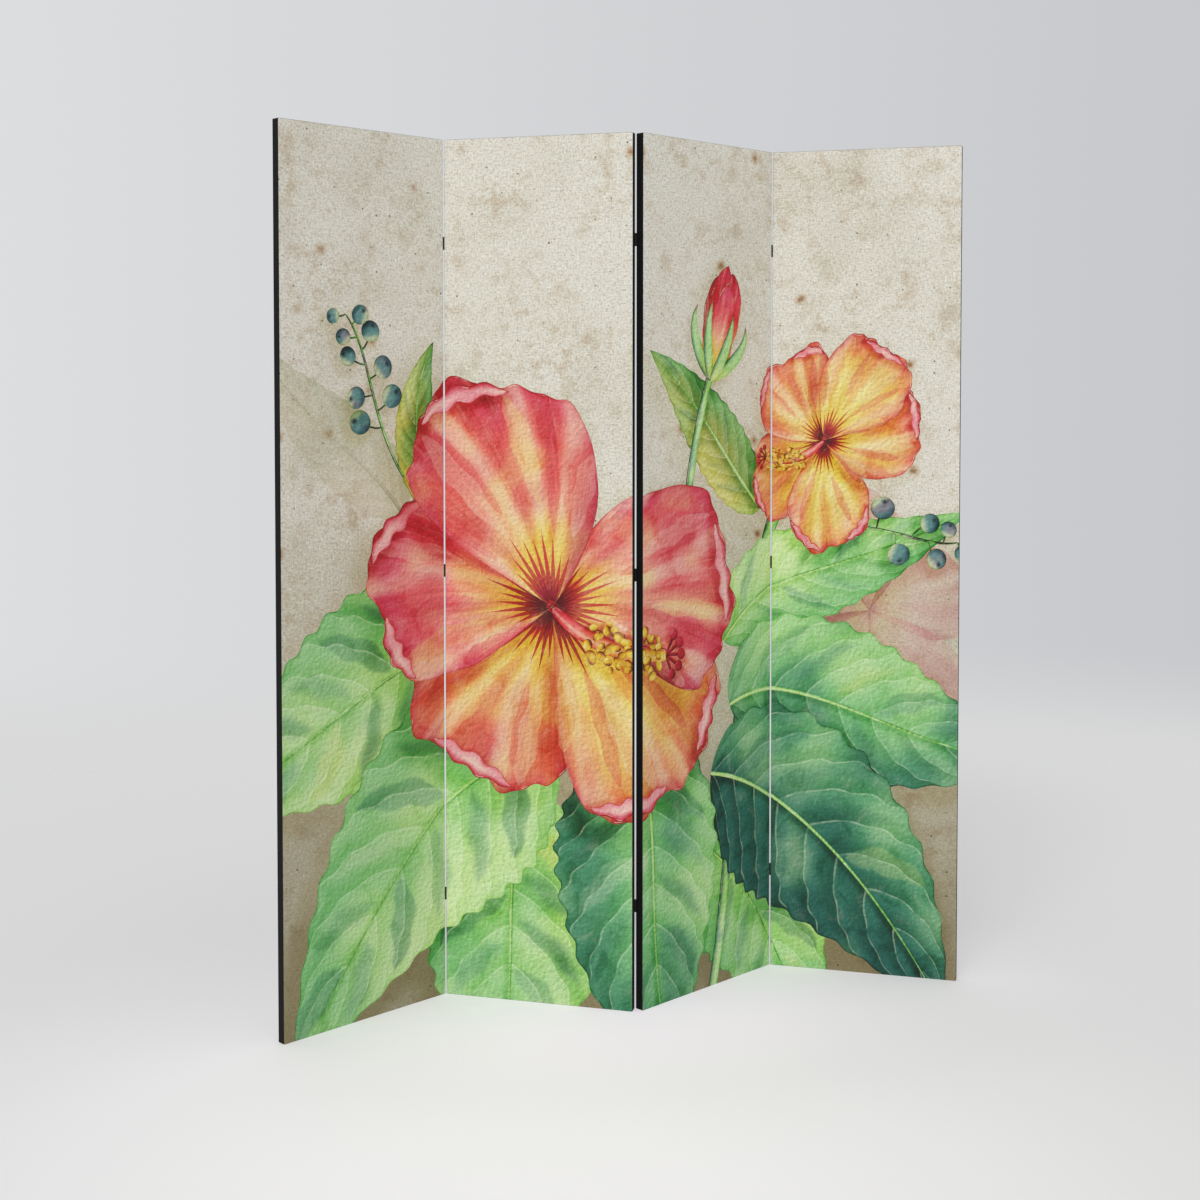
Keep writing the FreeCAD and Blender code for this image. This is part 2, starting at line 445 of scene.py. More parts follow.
# In metres: how far apart an outline's points are, how far in from a shape's edge the marks of that
# edge reach, and how far apart two seeds' brush strokes start.
outline_spacing = 0.006
edge_reach = 0.012
stroke_step = 0.37

# As shares of a shadow's reach, which way it falls and how far round its shape it is looked for; and
# how much the deepest one adds to the power that it raises a colour to: paper's red, green and
# blue, and paint.
shadow_shift = np.array([0.35, 0.45])
shadow_margin = 1.6
paper_depths = (0.50, 0.60, 0.80)
paint_depth = 1.25

# The brush values of bare paper
unbrushed = (1.0, 0.0, 0.0, 0.0)


class Layer:
    """One painted shape: where it lies, its colours, and how its brush marks run.

    cover is how much it hides, streaks how strong its lengthwise brush marks are, veins how clear
    its side veins are, and shadow how much it darkens what lies within reach of it, below and to
    the left. A glaze is a thin wash over another shape, and keeps that shape's brush marks. soft is
    how far in from its edge a wash reaches its full cover, in metres.
    """

    def __init__(self, shape, colours, cover=1.0, streaks=0.0, veins=0.0, shadow=0.0, reach=0.03,
                 seed=0, glaze=False, soft=0.0):
        self.shape, self.colours, self.cover, self.glaze, self.soft = shape, colours, cover, glaze, soft
        self.streaks, self.veins, self.shadow, self.reach, self.seed = streaks, veins, shadow, reach, seed
        self.outline = shape.outline(outline_spacing)


def inside(points, outline):
    """Which points lie in a closed outline: those with an odd number of its sides to their right."""
    hit = np.zeros(len(points), bool)
    near = ((points > outline.min(0)) & (points < outline.max(0))).all(1).nonzero()[0]
    x, y = points[near].T
    odd = np.zeros(len(near), bool)
    for (x0, y0), (x1, y1) in zip(outline, np.roll(outline, -1, axis=0)):
        if y0 != y1:
            spans = (y0 > y) != (y1 > y)
            odd ^= spans & (x < (x1 - x0) * (y - y0) / (y1 - y0) + x0)
    hit[near] = odd
    return hit


class Painting:
    """A mesh that is painted layer after layer. Each corner of each triangle has values of its own.

    colour is its display colour, bare its share of bare paper, shade the depth of the shadow on it,
    and stroke its place along and across the brush stroke. brush holds its distance from the shape's
    edge as a share of edge_reach, its streaks, the count of side veins up to it, and how clear those
    veins are.
    """

    def __init__(self, points, triangles):
        self.points = points
        self.centres = points[triangles].mean(1)
        self.corner = triangles.ravel()
        self.colour = ground_colours(points)[self.corner]
        self.bare = np.ones(len(self.corner))
        self.shade = np.zeros(len(self.corner))
        self.stroke = points[self.corner]
        self.brush = plain(unbrushed, self.corner)

    def add(self, layer):
        """Throws a layer's shadow, and paints the triangles whose centres lie in its shape."""
        margin = shadow_margin * layer.reach
        low, high = layer.outline.min(0) - margin, layer.outline.max(0) + margin
        near = ((self.points > low) & (self.points < high)).all(1).nonzero()[0]
        if not len(near):
            return
        covered = np.repeat(inside(self.centres, layer.outline), 3)
        if layer.shadow:
            self.darken(layer, near, ~covered)
        if covered.any():
            self.paint(layer, covered.nonzero()[0])

    def darken(self, layer, near, free):
        """Throws a layer's shadow on the free corners. It raises their colour to a power, so that it
        deepens and doesn't turn grey, and where shadows cross only the deepest counts."""
        thrown = self.points[near] + layer.reach * shadow_shift
        gap = np.where(inside(thrown, layer.outline), 0, nearest(thrown, layer.outline)[1])
        depth = np.zeros(len(self.points))
        depth[near] = layer.shadow * layer.cover * (1 - smooth(gap, 0, layer.reach))
        depth = depth[self.corner]
        under = ((depth > self.shade) & free).nonzero()[0]
        added = (depth[under] - self.shade[under])[:, None]
        power = 1 + added * np.where(self.bare[under, None] > 0.5, paper_depths, paint_depth)
        self.colour[under] = 255 * (np.clip(self.colour[under], 0, 255) / 255) ** power
        self.shade[under] = depth[under]

    def paint(self, layer, at):
        """Lays a layer on the corners with the numbers in at."""
        used, place = np.unique(self.corner[at], return_inverse=True)
        u, v, along, across, edge, vein = layer.shape.locate(self.points[used])
        fresh = layer.colours(u, v, self.points[used], layer.seed)[place]
        cover = layer.cover * smooth(edge, 0, layer.soft)[place, None] if layer.soft else layer.cover
        self.colour[at] = self.colour[at] * (1 - cover) + fresh * cover
        rim = 1 - layer.cover * (1 - np.clip(edge[place] / edge_reach, 0, 1))
        if layer.glaze:
            if not layer.soft:
                self.brush[at, 0] = np.minimum(self.brush[at, 0], rim)
            return
        self.bare[at] *= 1 - layer.cover
        self.shade[at] *= 1 - layer.cover
        self.stroke[at] = np.column_stack([along, across])[place] + stroke_step * layer.seed
        self.brush[at, 0] = rim
        self.brush[at, 1] = layer.streaks * layer.cover
        self.brush[at, 2] = vein[place]
        self.brush[at, 3] = layer.veins * layer.cover


# How each kind of shape is coloured


def spot(points, middle, reach):
    """1 at a middle, with a smooth fall to 0 on an ellipse that reaches that far to its sides and up."""
    return 1 - smooth(np.hypot(*((points - middle) / reach).T), 0, 1)


def ground_colours(points):
    """Aged paper: pale at the top, and khaki to olive brown towards the foot, in soft patches. It is
    browner in its upper left corner, and paler in its lower left corner and high in its middle."""
    s, t = points.T
    age = 0.34 * smooth(-t, -1.25, -0.55) + 0.62 * smooth(-t, -0.62, -0.02)
    age = age * (0.80 + 0.20 * smooth(abs(s - 0.8), 0.3, 0.8))
    age = age + 0.07 * clouds(points, 0.55, 3) + 0.05 * clouds(points, 0.2, 5)
    age = age + 0.08 * spot(points, (0.0, 1.8), (0.9, 0.7))
    age = age - 0.14 * spot(points, (0.82, 1.72), (0.28, 0.40))
    age = age - 0.18 * spot(points, (0.0, 0.0), (0.36, 0.55))
    return towards(plain(paper, points), paper_brown, np.clip(age, 0, 0.97))


def petal_colours(warmth):
    """A dark eye, yellow and peach round it, coral beyond, and crimson at the margin.

    warmth turns the petal from pink, at -1, to golden, at 1. Each fold is a light and a dark side of
    a line that runs up the petal: d exp(-d d), with d the distance from the line in fold widths.
    """
    near, far = (yellow, peach) if warmth > 0 else (pink, rose)
    gold = max(warmth, 0.0)
    rosy_stops = [(0, wine), (0.045, crimson), (0.11, orange), (0.19, yellow), (0.42, peach),
                  (0.60, salmon), (0.78, coral), (0.92, rose), (1.0, crimson)]
    golden_stops = [(0, wine), (0.045, crimson), (0.10, orange), (0.20, yellow), (0.45, pale_yellow),
                    (0.72, yellow), (0.87, orange), (0.96, coral), (1.0, crimson)]
    dark = tuple(np.array(crimson) * (1 - gold) + np.array(ochre) * gold)
    darkest = tuple(np.array(wine) * (1 - gold) + np.array(coral) * gold)

    def colours(u, v, points, seed):
        drift = 0.05 * ragged(3 * v, seed) + 0.07 * clouds(points, 0.22, seed)
        place = np.clip(u + drift, 0, 1)
        colour = blended(rosy_stops, place) * (1 - gold) + blended(golden_stops, place) * gold
        colour = towards(colour, near, 0.55 * abs(warmth) * smooth(u, 0.1, 0.5) * (1 - 0.6 * u))
        colour = towards(colour, far, 0.30 * abs(warmth) * smooth(u, 0.45, 0.9))
        folds = 0
        for k in range(4):
            line = -0.72 + 0.46 * k + 0.10 * np.sin(2.3 * k + seed) + 0.07 * np.sin(3.5 * u + seed + k)
            d = (v - line) / (0.10 + 0.05 * np.sin(1.9 * k + 2 * seed) ** 2)
            folds = folds + 2.2 * d * np.exp(-d * d)
        frill = np.sin(19 * v + 2.0 * seed + 2 * np.sin(5 * v)) * smooth(u, 0.62, 0.98)
        folds = folds * smooth(u, 0.08, 0.5) + 0.75 * frill
        colour = towards(colour, cream, 0.54 * np.clip(folds, 0, 1))
        colour = towards(colour, dark, 0.40 * np.clip(-folds, 0, 1))
        wash = clouds(points, 0.15, seed + 4)
        thin = 0.55 * smooth(wash, -0.1, 1.0) * smooth(u, 0.15, 0.5) * (1 - 0.6 * u)
        colour = towards(colour, pale_yellow, thin)
        colour = towards(colour, dark, 0.24 * smooth(-wash, 0.1, 1.1))
        margin = 0.55 * gold * smooth(u, 0.90, 1.0) * smooth(ragged(4 * v, seed), -0.5, 0.6)
        colour = towards(colour, crimson, margin)
        return towards(colour, darkest, 0.40 * smooth(-v, 0.5, 1.0) * smooth(u, 0.05, 0.4))

    return colours


def streak_colours(u, v, points, seed):
    """The thin dark rays that leave a bloom's eye."""
    return towards(plain(crimson, u), wine, 1 - smooth(u, 0.0, 0.7))


def wash_colours(u, v, points, seed):
    """A second wash over a petal: coral or crimson, deepest at its tip."""
    first, second = ((coral, crimson), (rose, wine), (orange, coral))[seed % 3]
    return blended([(0, first), (1, second)], u)


def glint_colours(u, v, points, seed):
    """A place where the brush left the paper nearly bare."""
    return plain(cream if seed % 2 else pale_yellow, u)


def shade_colours(u, v, points, seed):
    """A second wash over a leaf."""
    return blended([(0, leaf_deep), (1, leaf_teal)], u)


def lip_colours(u, v, points, seed):
    """The turned-over rim of a petal: pale in its middle and rose along its sides."""
    colour = towards(plain(pink, u), cream, 0.65 * (1 - abs(v)) * (0.6 + 0.4 * np.sin(9 * u + seed)))
    return towards(colour, crimson, 0.75 * smooth(-v, 0.0, 1.0) + 0.2 * smooth(abs(v), 0.7, 1))


def bud_colours(u, v, points, seed):
    """A closed petal: yellow and coral at its foot, crimson at its tip, darker down one side."""
    stops = [(0, pale_yellow), (0.18, yellow), (0.38, peach), (0.6, coral), (0.85, rose), (1, crimson)]
    colour = blended(stops, np.clip(u + 0.06 * ragged(2 * v, seed), 0, 1))
    colour = towards(colour, cream, 0.35 * smooth(-abs(v + 0.25), -0.35, 0) * smooth(-u, -0.9, -0.3))
    return towards(colour, crimson, 0.5 * smooth(v, 0.25, 1.0) * smooth(u, 0.1, 0.6))


def leaf_colours(light, middle, deep):
    """Colours of a leaf, from a light, a middle and a deep green: one half lit, one half in shade."""

    def colours(u, v, points, seed):
        colour = towards(plain(middle, u), light, 0.80 * smooth(v, -0.1, 0.75) * (1 - 0.4 * u))
        colour = towards(colour, deep, 0.65 * smooth(-v, 0.0, 0.9))
        colour = towards(colour, deep, 0.45 * smooth(u, 0.62, 1.0) + 0.35 * smooth(-u, -0.2, 0))
        pool = clouds(points, 0.26, seed + 7)
        colour = towards(colour, leaf_pale, 0.40 * smooth(pool, -0.1, 1.2))
        return towards(colour, deep, 0.40 * smooth(-pool, -0.1, 1.2))

    return colours


light_leaf = leaf_colours(leaf_pale, leaf_light, leaf_mid)
green_leaf = leaf_colours(leaf_light, leaf_mid, leaf_deep)
deep_leaf = leaf_colours(leaf_mid, leaf_deep, leaf_teal)
golden_leaf = leaf_colours(pale_yellow, olive, leaf_mid)


def rib_colours(u, v, points, seed):
    """A leaf's midrib, darker along one side and towards its tip."""
    return towards(plain(leaf_pale, u), leaf_mid, 0.6 * smooth(v, 0.0, 1.0) + 0.35 * u)


def stem_colours(u, v, points, seed):
    """A round stem lit from the left, with a blue-green shade side."""
    colour = towards(plain(leaf_light, u), leaf_pale, 0.75 * smooth(-abs(v + 0.3), -0.5, 0))
    colour = towards(colour, leaf_teal, 0.75 * smooth(v, 0.1, 1.0))
    return towards(colour, berry_blue, 0.3 * smooth(clouds(points, 0.08, seed), 0, 1))


def twig_colours(u, v, points, seed):
    """A stem's colours, with plum in patches."""
    colour = stem_colours(u, v, points, seed)
    return towards(colour, berry_plum, 0.45 * smooth(clouds(points, 0.06, seed + 2), -0.2, 0.8))


def sepal_colours(u, v, points, seed):
    """Green from a yellow foot to a crimson tip, with one deep side."""
    colour = towards(plain(leaf_light, u), pale_yellow, 0.55 * smooth(-u, -0.4, 0))
    colour = towards(colour, leaf_deep, 0.65 * smooth(v, 0.1, 1.0))
    return towards(colour, crimson, 0.35 * smooth(u, 0.8, 1.0))


def column_colours(u, v, points, seed):
    """The stamen column: golden with a coral shade side."""
    colour = blended([(0, crimson), (0.15, coral), (0.5, peach), (1, yellow)], u)
    colour = towards(colour, cream, 0.6 * smooth(-abs(v + 0.25), -0.5, 0))
    return towards(colour, crimson, 0.55 * smooth(v, 0.3, 1.0))


def anther_colours(u, v, points, seed):
    """A yellow grain, pale on its lit side and amber on the other."""
    colour = towards(plain(yellow, u), cream, 0.7 * smooth(v, 0.1, 0.6))
    return towards(colour, amber, 0.75 * smooth(-v, 0.05, 0.6))


def stigma_colours(u, v, points, seed):
    """A crimson knob, pink on its lit side and wine red on the other."""
    colour = towards(plain(crimson, u), pink, 0.7 * smooth(v, 0.15, 0.6))
    return towards(colour, wine, 0.7 * smooth(-v, 0.1, 0.6))


def berry_colours(u, v, points, seed):
    """A round berry: a pale light from the upper left, a deep far side, and a thin bright rim."""
    plum = 0.55 * smooth(np.sin(1.7 * seed) + clouds(points, 0.05, seed), -0.2, 1.2)
    colour = towards(plain(berry_blue, u), berry_plum, plum)
    colour = towards(colour, berry_pale, 0.85 * smooth(v, 0.12, 0.55))
    colour = towards(colour, berry_dark, 0.75 * smooth(-v, 0.1, 0.65))
    return towards(colour, berry_pale, 0.35 * smooth(u, 0.9, 1.0))


def crown_colours(u, v, points, seed):
    """The dark crown of a berry."""
    return plain(berry_ink, u)


def faded(colours):
    """The same colours as a pale stain on the paper: pink and brown."""

    def stain(u, v, points, seed):
        colour = colours(u, v, points, seed)
        grey = colour.mean(1)[:, None]
        return 0.45 * colour + 0.15 * grey + 0.40 * np.array(faded_rose)

    return stain


# Where the painted shapes lie, in metres on the print


def petal_glazes(petal, radius, seed):
    """Thin washes, bare glints and dark rays along a petal, as tapering strokes from its foot outwards."""
    made = []
    for k in range(9):
        v = -0.82 + 0.205 * k + 0.06 * np.sin(2.7 * k + seed)
        first, last = 0.30 + 0.16 * np.sin(1.3 * k + seed) ** 2, 0.90 + 0.07 * np.sin(2.1 * k + 2 * seed)
        share = np.linspace(first, last, 4)
        spine = petal.point(share, v + 0.05 * np.sin(3 * share + k))
        colours, cover = ((wash_colours, 0.26), (glint_colours, 0.30), (wash_colours, 0.20))[(k + seed) % 3]
        width = radius * (0.030 + 0.022 * abs(np.sin(1.1 * k + seed)))
        stroke = Blade(spine, width, 0.8, 0.6, ripple=0.16, ripples=2.6, phase=0.21 * k)
        soft = 0.3 * width if k % 3 == 1 else 0.0
        made.append(Layer(stroke, colours, cover, seed=k + seed, glaze=True, soft=soft))
    for k in range(9):
        reach = 0.25 + 0.11 * abs(np.sin(2.2 * k + seed))
        spine = petal.point(np.linspace(0.03, reach, 3), np.full(3, -0.74 + 0.185 * k))
        made.append(Layer(Blade(spine, 0.011 * radius, 0.3, 1.1), streak_colours, 0.62, seed=k, glaze=True))
    return made


def bloom(middle, radius, turn, squeeze, squeeze_turn, seed, warmths=(0.1, -0.6, 0.45, 0.8, -0.5)):
    """Five broad ruffled petals about a dark eye, the far ones first, with some rims turned over."""
    made = []
    for k in (2, 3, 1, 4, 0):
        angle = turn + 72 * k + 7 * np.sin(2.3 * k + seed)
        length = radius * (1 + 0.07 * np.sin(1.7 * k + 2 * seed))
        ruffles = [(count, size, step * k + seed) for count, size, step in
                   ((4.2, 0.034, 1.3), (9.5, 0.030, 2.1), (19, 0.017, 0.7), (41, 0.007, 1.1))]
        petal = Fan(middle, angle, length, 49, 3.2, 0.5, ruffles, squeeze, squeeze_turn,
                    bend=12 * np.sin(k + seed))
        made.append(Layer(petal, petal_colours(warmths[k]), streaks=0.55, veins=0.14, shadow=0.62,
                          reach=0.11 * radius, seed=seed + 3 * k))
        made += petal_glazes(petal, radius, seed + 3 * k)
        for start, end in ((-0.66, -0.16), (0.16, 0.62)) if k % 2 else ((-0.24, 0.34),):
            rim = petal.point(0.975, np.linspace(start, end, 4))
            lip = Blade(rim, 0.040 * radius, 0.7, 0.7, ripple=0.30, ripples=3.4, phase=0.3 * k + start)
            made.append(Layer(lip, lip_colours, streaks=0.5, shadow=0.6, reach=0.05 * radius,
                              seed=seed + k))
    return made


def ghost_bloom(middle, radius, turn, squeeze, squeeze_turn, seed):
    """A bloom as a pale stain, with its petals showing through each other."""
    made = []
    for k in range(5):
        ruffles = ((4.2, 0.03, 1.3 * k), (9.5, 0.03, 2.1 * k), (19, 0.015, 0.7 * k))
        length = radius * (1 + 0.08 * np.sin(2 * k))
        petal = Fan(middle, turn + 72 * k, length, 45, 3.0, 0.5, ruffles, squeeze, squeeze_turn)
        made.append(Layer(petal, faded(petal_colours(-0.8)), 0.34, streaks=1.0, veins=0.3, seed=seed + k))
    return made


def stamens(root, middle, tip, size, seed):
    """A curved column with anthers in a spiral round its outer part, and five stigmas at its end."""
    column = Blade([root, middle, tip], 0.0125 * size, 0.25, 0.12)
    made = [Layer(column, column_colours, streaks=0.4, shadow=0.6, reach=0.035 * size, seed=seed)]
    anthers = 46
    for k in range(anthers):
        point, normal = column.at(np.array([0.42 + 0.53 * k / anthers]))
        away = (0.016 + 0.016 * abs(np.sin(2.1 * k))) * size * np.sin(2.4 * k + seed)
        centre = point[0] + normal[0] * away + 0.004 * size * np.array([np.sin(5.0 * k), np.cos(3.0 * k)])
        anther = Disc(centre, 0.0062 * size * (1 + 0.25 * np.sin(3.7 * k)), 1.25, 40 * k)
        made.append(Layer(anther, anther_colours, shadow=0.70, reach=0.011 * size, seed=k))
    end, normal = column.at(np.array([1.0]))
    forward = turned(normal, -90)[0]
    for k in range(5):
        way = turned([forward], -64 + 32 * k)[0]
        knob = end[0] + 0.034 * size * way
        stalk = Blade([end[0], end[0] + 0.02 * size * way, knob], 0.0028 * size, 0.1, 0.1)
        made.append(Layer(stalk, stigma_colours, shadow=0.3, reach=0.008 * size))
        made.append(Layer(Disc(knob, 0.0088 * size), stigma_colours, shadow=0.5, reach=0.012 * size))
    return made


def leaf(spine, half_width, colours, seed, cover=1.0, shadow=0.5):
    """A toothed leaf with second washes along its side veins, and a midrib paler than its blade. With
    a cover under 1 it is a faded stain."""
    stain = cover < 1
    blade = Blade(spine, half_width, 0.56, 0.98, ripple=0.035, ripples=13, phase=0.31 * seed)
    made = [Layer(blade, faded(colours) if stain else colours, cover, streaks=0.25, veins=1.0,
                  shadow=shadow, reach=0.05, seed=seed)]
    for k in () if stain else range(10):
        share, side = 0.14 + 0.072 * k, -1 if k % 2 else 1
        stops = np.array([share, share + 0.035, share + 0.10, share + 0.17])
        point, normal = blade.at(np.clip(stops, 0, 1))
        out = np.array([0.04, 0.34, 0.64, 0.86]) * blade.width(stops, side)
        path = point + side * normal * out[:, None]
        stroke = Blade(path, 0.15 * half_width, 0.6, 0.7, ripple=0.15, ripples=2.3, phase=0.2 * k)
        wash = glint_colours if (k + seed) % 7 == 0 else shade_colours
        soft = 0.024 if k % 3 else 0.009
        made.append(Layer(stroke, wash, 0.14 + 0.13 * abs(np.sin(k + seed)), seed=k, glaze=True, soft=soft))
    rib = Blade(spine, 0.0046, 0.08, 0.75)
    made.append(Layer(rib, faded(stem_colours) if stain else rib_colours, cover, streaks=0.2,
                      shadow=0.35, reach=0.012, seed=seed))
    return made


def stem(points, half_width, seed):
    """A long round stem, about as thick at its tip as at its foot."""
    blade = Blade(points, half_width, 0.04, 0.04, ripple=0.03, ripples=5)
    return [Layer(blade, stem_colours, streaks=0.6, shadow=0.55, reach=0.022, seed=seed)]


def bud(foot, turn, length, seed):
    """A closed bud: petals wrapped about each other, held by four narrow sepals."""
    made = []
    for lean, reach, half_width in ((16, 0.92, 0.20), (-15, 0.95, 0.20), (6, 1.0, 0.19), (-5, 0.86, 0.17)):
        points = np.array([[0, 0], [0.35, -0.006 * lean], [0.75, 0.012 * lean], [1, 0.003 * lean]]) * reach
        spine = foot + length * turned(points, turn)
        blade = Blade(spine, half_width * length, 0.55, 0.8, ripple=0.03, ripples=4, phase=0.1 * lean)
        made.append(Layer(blade, bud_colours, streaks=0.9, shadow=0.7, reach=0.05 * length / 0.24,
                          seed=seed + lean))
    for lean, reach in ((34, 0.50), (-36, 0.48), (13, 0.58), (-14, 0.54)):
        points = np.array([[-0.05, 0], [0.18, 0.0085 * lean], [0.42, 0.0130 * lean], [0.62, 0.0105 * lean]])
        spine = foot + length * reach / 0.55 * turned(points, turn)
        sepal = Blade(spine, 0.058 * length, 0.45, 1.0)
        made.append(Layer(sepal, sepal_colours, streaks=0.6, shadow=0.55, reach=0.015, seed=lean))
    return made


def berries(root, turn, length, count, seed):
    """A twig with berries to either side of it, each on a short stalk, with a small dark crown."""
    line = np.array([[0, 0], [0.4, 0.10], [0.75, -0.06], [1.0, 0.03]]) * length
    twig = Blade(root + turned(line, turn), 0.0036, 0.1, 0.3)
    made = [Layer(twig, twig_colours, streaks=0.3, shadow=0.4, reach=0.012, seed=seed)]
    for k in range(count):
        share = 0.28 + 0.72 * k / (count - 1)
        point, normal = twig.at(np.array([share]))
        foot, side = point[0], -normal[0] if k % 2 else normal[0]
        forward = turned(normal, -90)[0]
        radius = 0.0275 - 0.0105 * share + 0.002 * np.sin(2.9 * k)
        reach = 0.056 - 0.030 * share
        centre = foot + side * reach + forward * (0.018 + 0.012 * np.sin(1.3 * k + seed))
        stalk = Blade([foot, foot + side * 0.4 * reach, centre], 0.0021, 0.1, 0.1)
        made.append(Layer(stalk, twig_colours, shadow=0.3, reach=0.008, seed=k))
        made.append(Layer(Disc(centre, radius, 1.06, 30 * k), berry_colours, streaks=0.2, shadow=0.7,
                          reach=0.022, seed=seed + k))
        crown = centre + (centre - foot) / np.hypot(*(centre - foot)) * radius * 0.60
        for size, cover in ((0.26, 0.40), (0.12, 0.75)):
            made.append(Layer(Disc(crown, radius * size, 1.3, 30 * k), crown_colours, cover))
    return made


print_layers = [
    *ghost_bloom((1.43, 0.80), 0.26, 20, squeeze=0.8, squeeze_turn=30, seed=6),
    *leaf([(0.30, 1.02), (0.20, 1.16), (0.05, 1.20), (-0.06, 1.38)], 0.085, light_leaf, 5, 0.36, 0.1),
    *leaf([(1.18, 1.02), (1.06, 1.13), (0.98, 1.26), (0.83, 1.36)], 0.080, golden_leaf, 9),
    *leaf([(0.42, 1.02), (0.33, 1.12), (0.30, 1.24), (0.38, 1.38)], 0.062, golden_leaf, 4),
    *leaf([(0.92, 0.36), (1.10, 0.26), (1.24, 0.10), (1.30, -0.20)], 0.175, light_leaf, 6),
    *leaf([(0.58, 0.46), (0.52, 0.24), (0.58, 0.02), (0.50, -0.30)], 0.205, light_leaf, 7),
    *stem([(1.02, -0.03), (1.12, 0.35), (1.06, 0.72), (1.26, 1.08)], 0.0145, 2),
    *stem([(0.93, -0.03), (0.96, 0.5), (0.86, 0.95), (1.02, 1.32)], 0.0115, 4),
    *leaf([(1.06, 0.74), (1.20, 0.89), (1.40, 0.88), (1.64, 1.02)], 0.110, light_leaf, 12),
    *leaf([(1.08, 0.60), (1.30, 0.68), (1.48, 0.50), (1.78, 0.48)], 0.175, green_leaf, 3),
    *leaf([(1.02, 0.46), (1.24, 0.42), (1.44, 0.22), (1.60, -0.08)], 0.205, deep_leaf, 8),
    *leaf([(0.50, 0.74), (0.28, 0.76), (0.08, 0.56), (-0.18, 0.48)], 0.200, light_leaf, 1),
    *leaf([(0.64, 0.56), (0.42, 0.47), (0.22, 0.24), (0.02, -0.08)], 0.220, light_leaf, 2),
    *leaf([(0.80, 0.56), (0.88, 0.34), (0.80, 0.12), (0.92, -0.22)], 0.195, green_leaf, 4),
    *berries((0.30, 1.10), 112, 0.36, 9, seed=2),
    *berries((1.36, 0.98), -8, 0.26, 6, seed=5),
    *bud((1.02, 1.31), 76, 0.24, seed=2),
    *bloom((1.33, 1.17), 0.235, 64, squeeze=0.80, squeeze_turn=-20, seed=4,
           warmths=(0.9, 0.5, 0.8, 1.0, 0.7)),
    *stamens((1.33, 1.17), (1.28, 1.11), (1.20, 1.13), size=0.72, seed=3),
    *bloom((0.64, 0.83), 0.46, 96, squeeze=0.90, squeeze_turn=35, seed=1),
    *stamens((0.64, 0.83), (0.72, 0.74), (0.88, 0.73), size=1.35, seed=1),
]


# Meshes on the panels


class Panel:
    """Where one part of a panel lies, worked out from its CAD solid.

    The panel's directions come from its print canvas, whose largest faces are its front and back:
    inward from front to back, along from left to right. origin is the part's lower left front
    corner.
    """

    def __init__(self, name, part):
        canvas = frame["nodes"][f"{name}_print_canvas"].data
        facing = np.array(max(canvas.polygons, key=lambda face: face.area).normal)
        self.inward = facing * np.sign(facing[1]) * (1, 1, 0)
        self.inward = self.inward / np.hypot(*self.inward[:2])
        self.along = np.array([self.inward[1], -self.inward[0], 0])
        data = frame["nodes"][f"{name}_{part}"].data
        points = np.empty(len(data.vertices) * 3)
        data.vertices.foreach_get("co", points)
        points = points.reshape(-1, 3)
        x, y, z = points @ self.along, points @ self.inward, points[:, 2]
        self.width, self.depth, self.height = np.ptp(x), np.ptp(y), np.ptp(z)
        self.origin = x.min() * self.along + y.min() * self.inward + np.array([0, 0, z.min()])

    def place(self, x, y, z):
        """Points of the frame at x along, y inward and z up from the origin."""
        return self.origin + np.outer(x, self.along) + np.outer(y, self.inward) + np.outer(z, [0, 0, 1])


def covering(name, kind, points, faces, replaced):
    """A covering of a panel from its points and faces, that stands for one of its CAD nodes."""
    mesh = bpy.data.meshes.new(f"{name}_{kind}")
    mesh.from_pydata(points, [], faces)
    mesh.update()
    piece = bpy.data.objects.new(f"{name}_{kind}", mesh)
    bpy.context.scene.collection.objects.link(piece)
    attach(piece, name)
    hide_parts(f"{name}_{replaced}")
    return piece


def corners_of(mesh):
    """For each corner of each face, the number of its point."""
    corner = np.empty(len(mesh.loops), int)
    mesh.loops.foreach_get("vertex_index", corner)
    return corner


def give_layout(mesh, title, flat):
    """Gives a mesh a UV map from one flat place per corner."""
    mesh.uv_layers.new(name=title).data.foreach_set("uv", flat.ravel().astype(np.float32))


def give_paint(mesh, title, values):
    """Gives a mesh a colour attribute from four values per corner."""
    attribute = mesh.color_attributes.new(title, "FLOAT_COLOR", "CORNER")
    attribute.data.foreach_set("color", values.ravel().astype(np.float32))


# In metres, how far apart the print's points are, and how far past a panel outlines are kept. The
# triangles are worked out in millimetres, where points nearer than same_mm are one.
print_grid = 0.004
outline_slack = 0.02
to_mm = 1000.0
same_mm = 1e-4


def near_panel(loop, size, count):
    """The points of a closed loop that lie on or near a panel of that size, and the loop's sides
    between them, as pairs of numbers that go on from count."""
    first = np.arange(len(loop))
    second = np.roll(first, -1)
    low, high = np.minimum(loop, loop[second]), np.maximum(loop, loop[second])
    near = (high > -outline_slack).all(1) & (low < size + outline_slack).all(1)
    used = np.zeros(len(loop), bool)
    used[first[near]] = used[second[near]] = True
    number = np.cumsum(used) - 1 + count
    return loop[used], np.column_stack([number[first[near]], number[second[near]]])


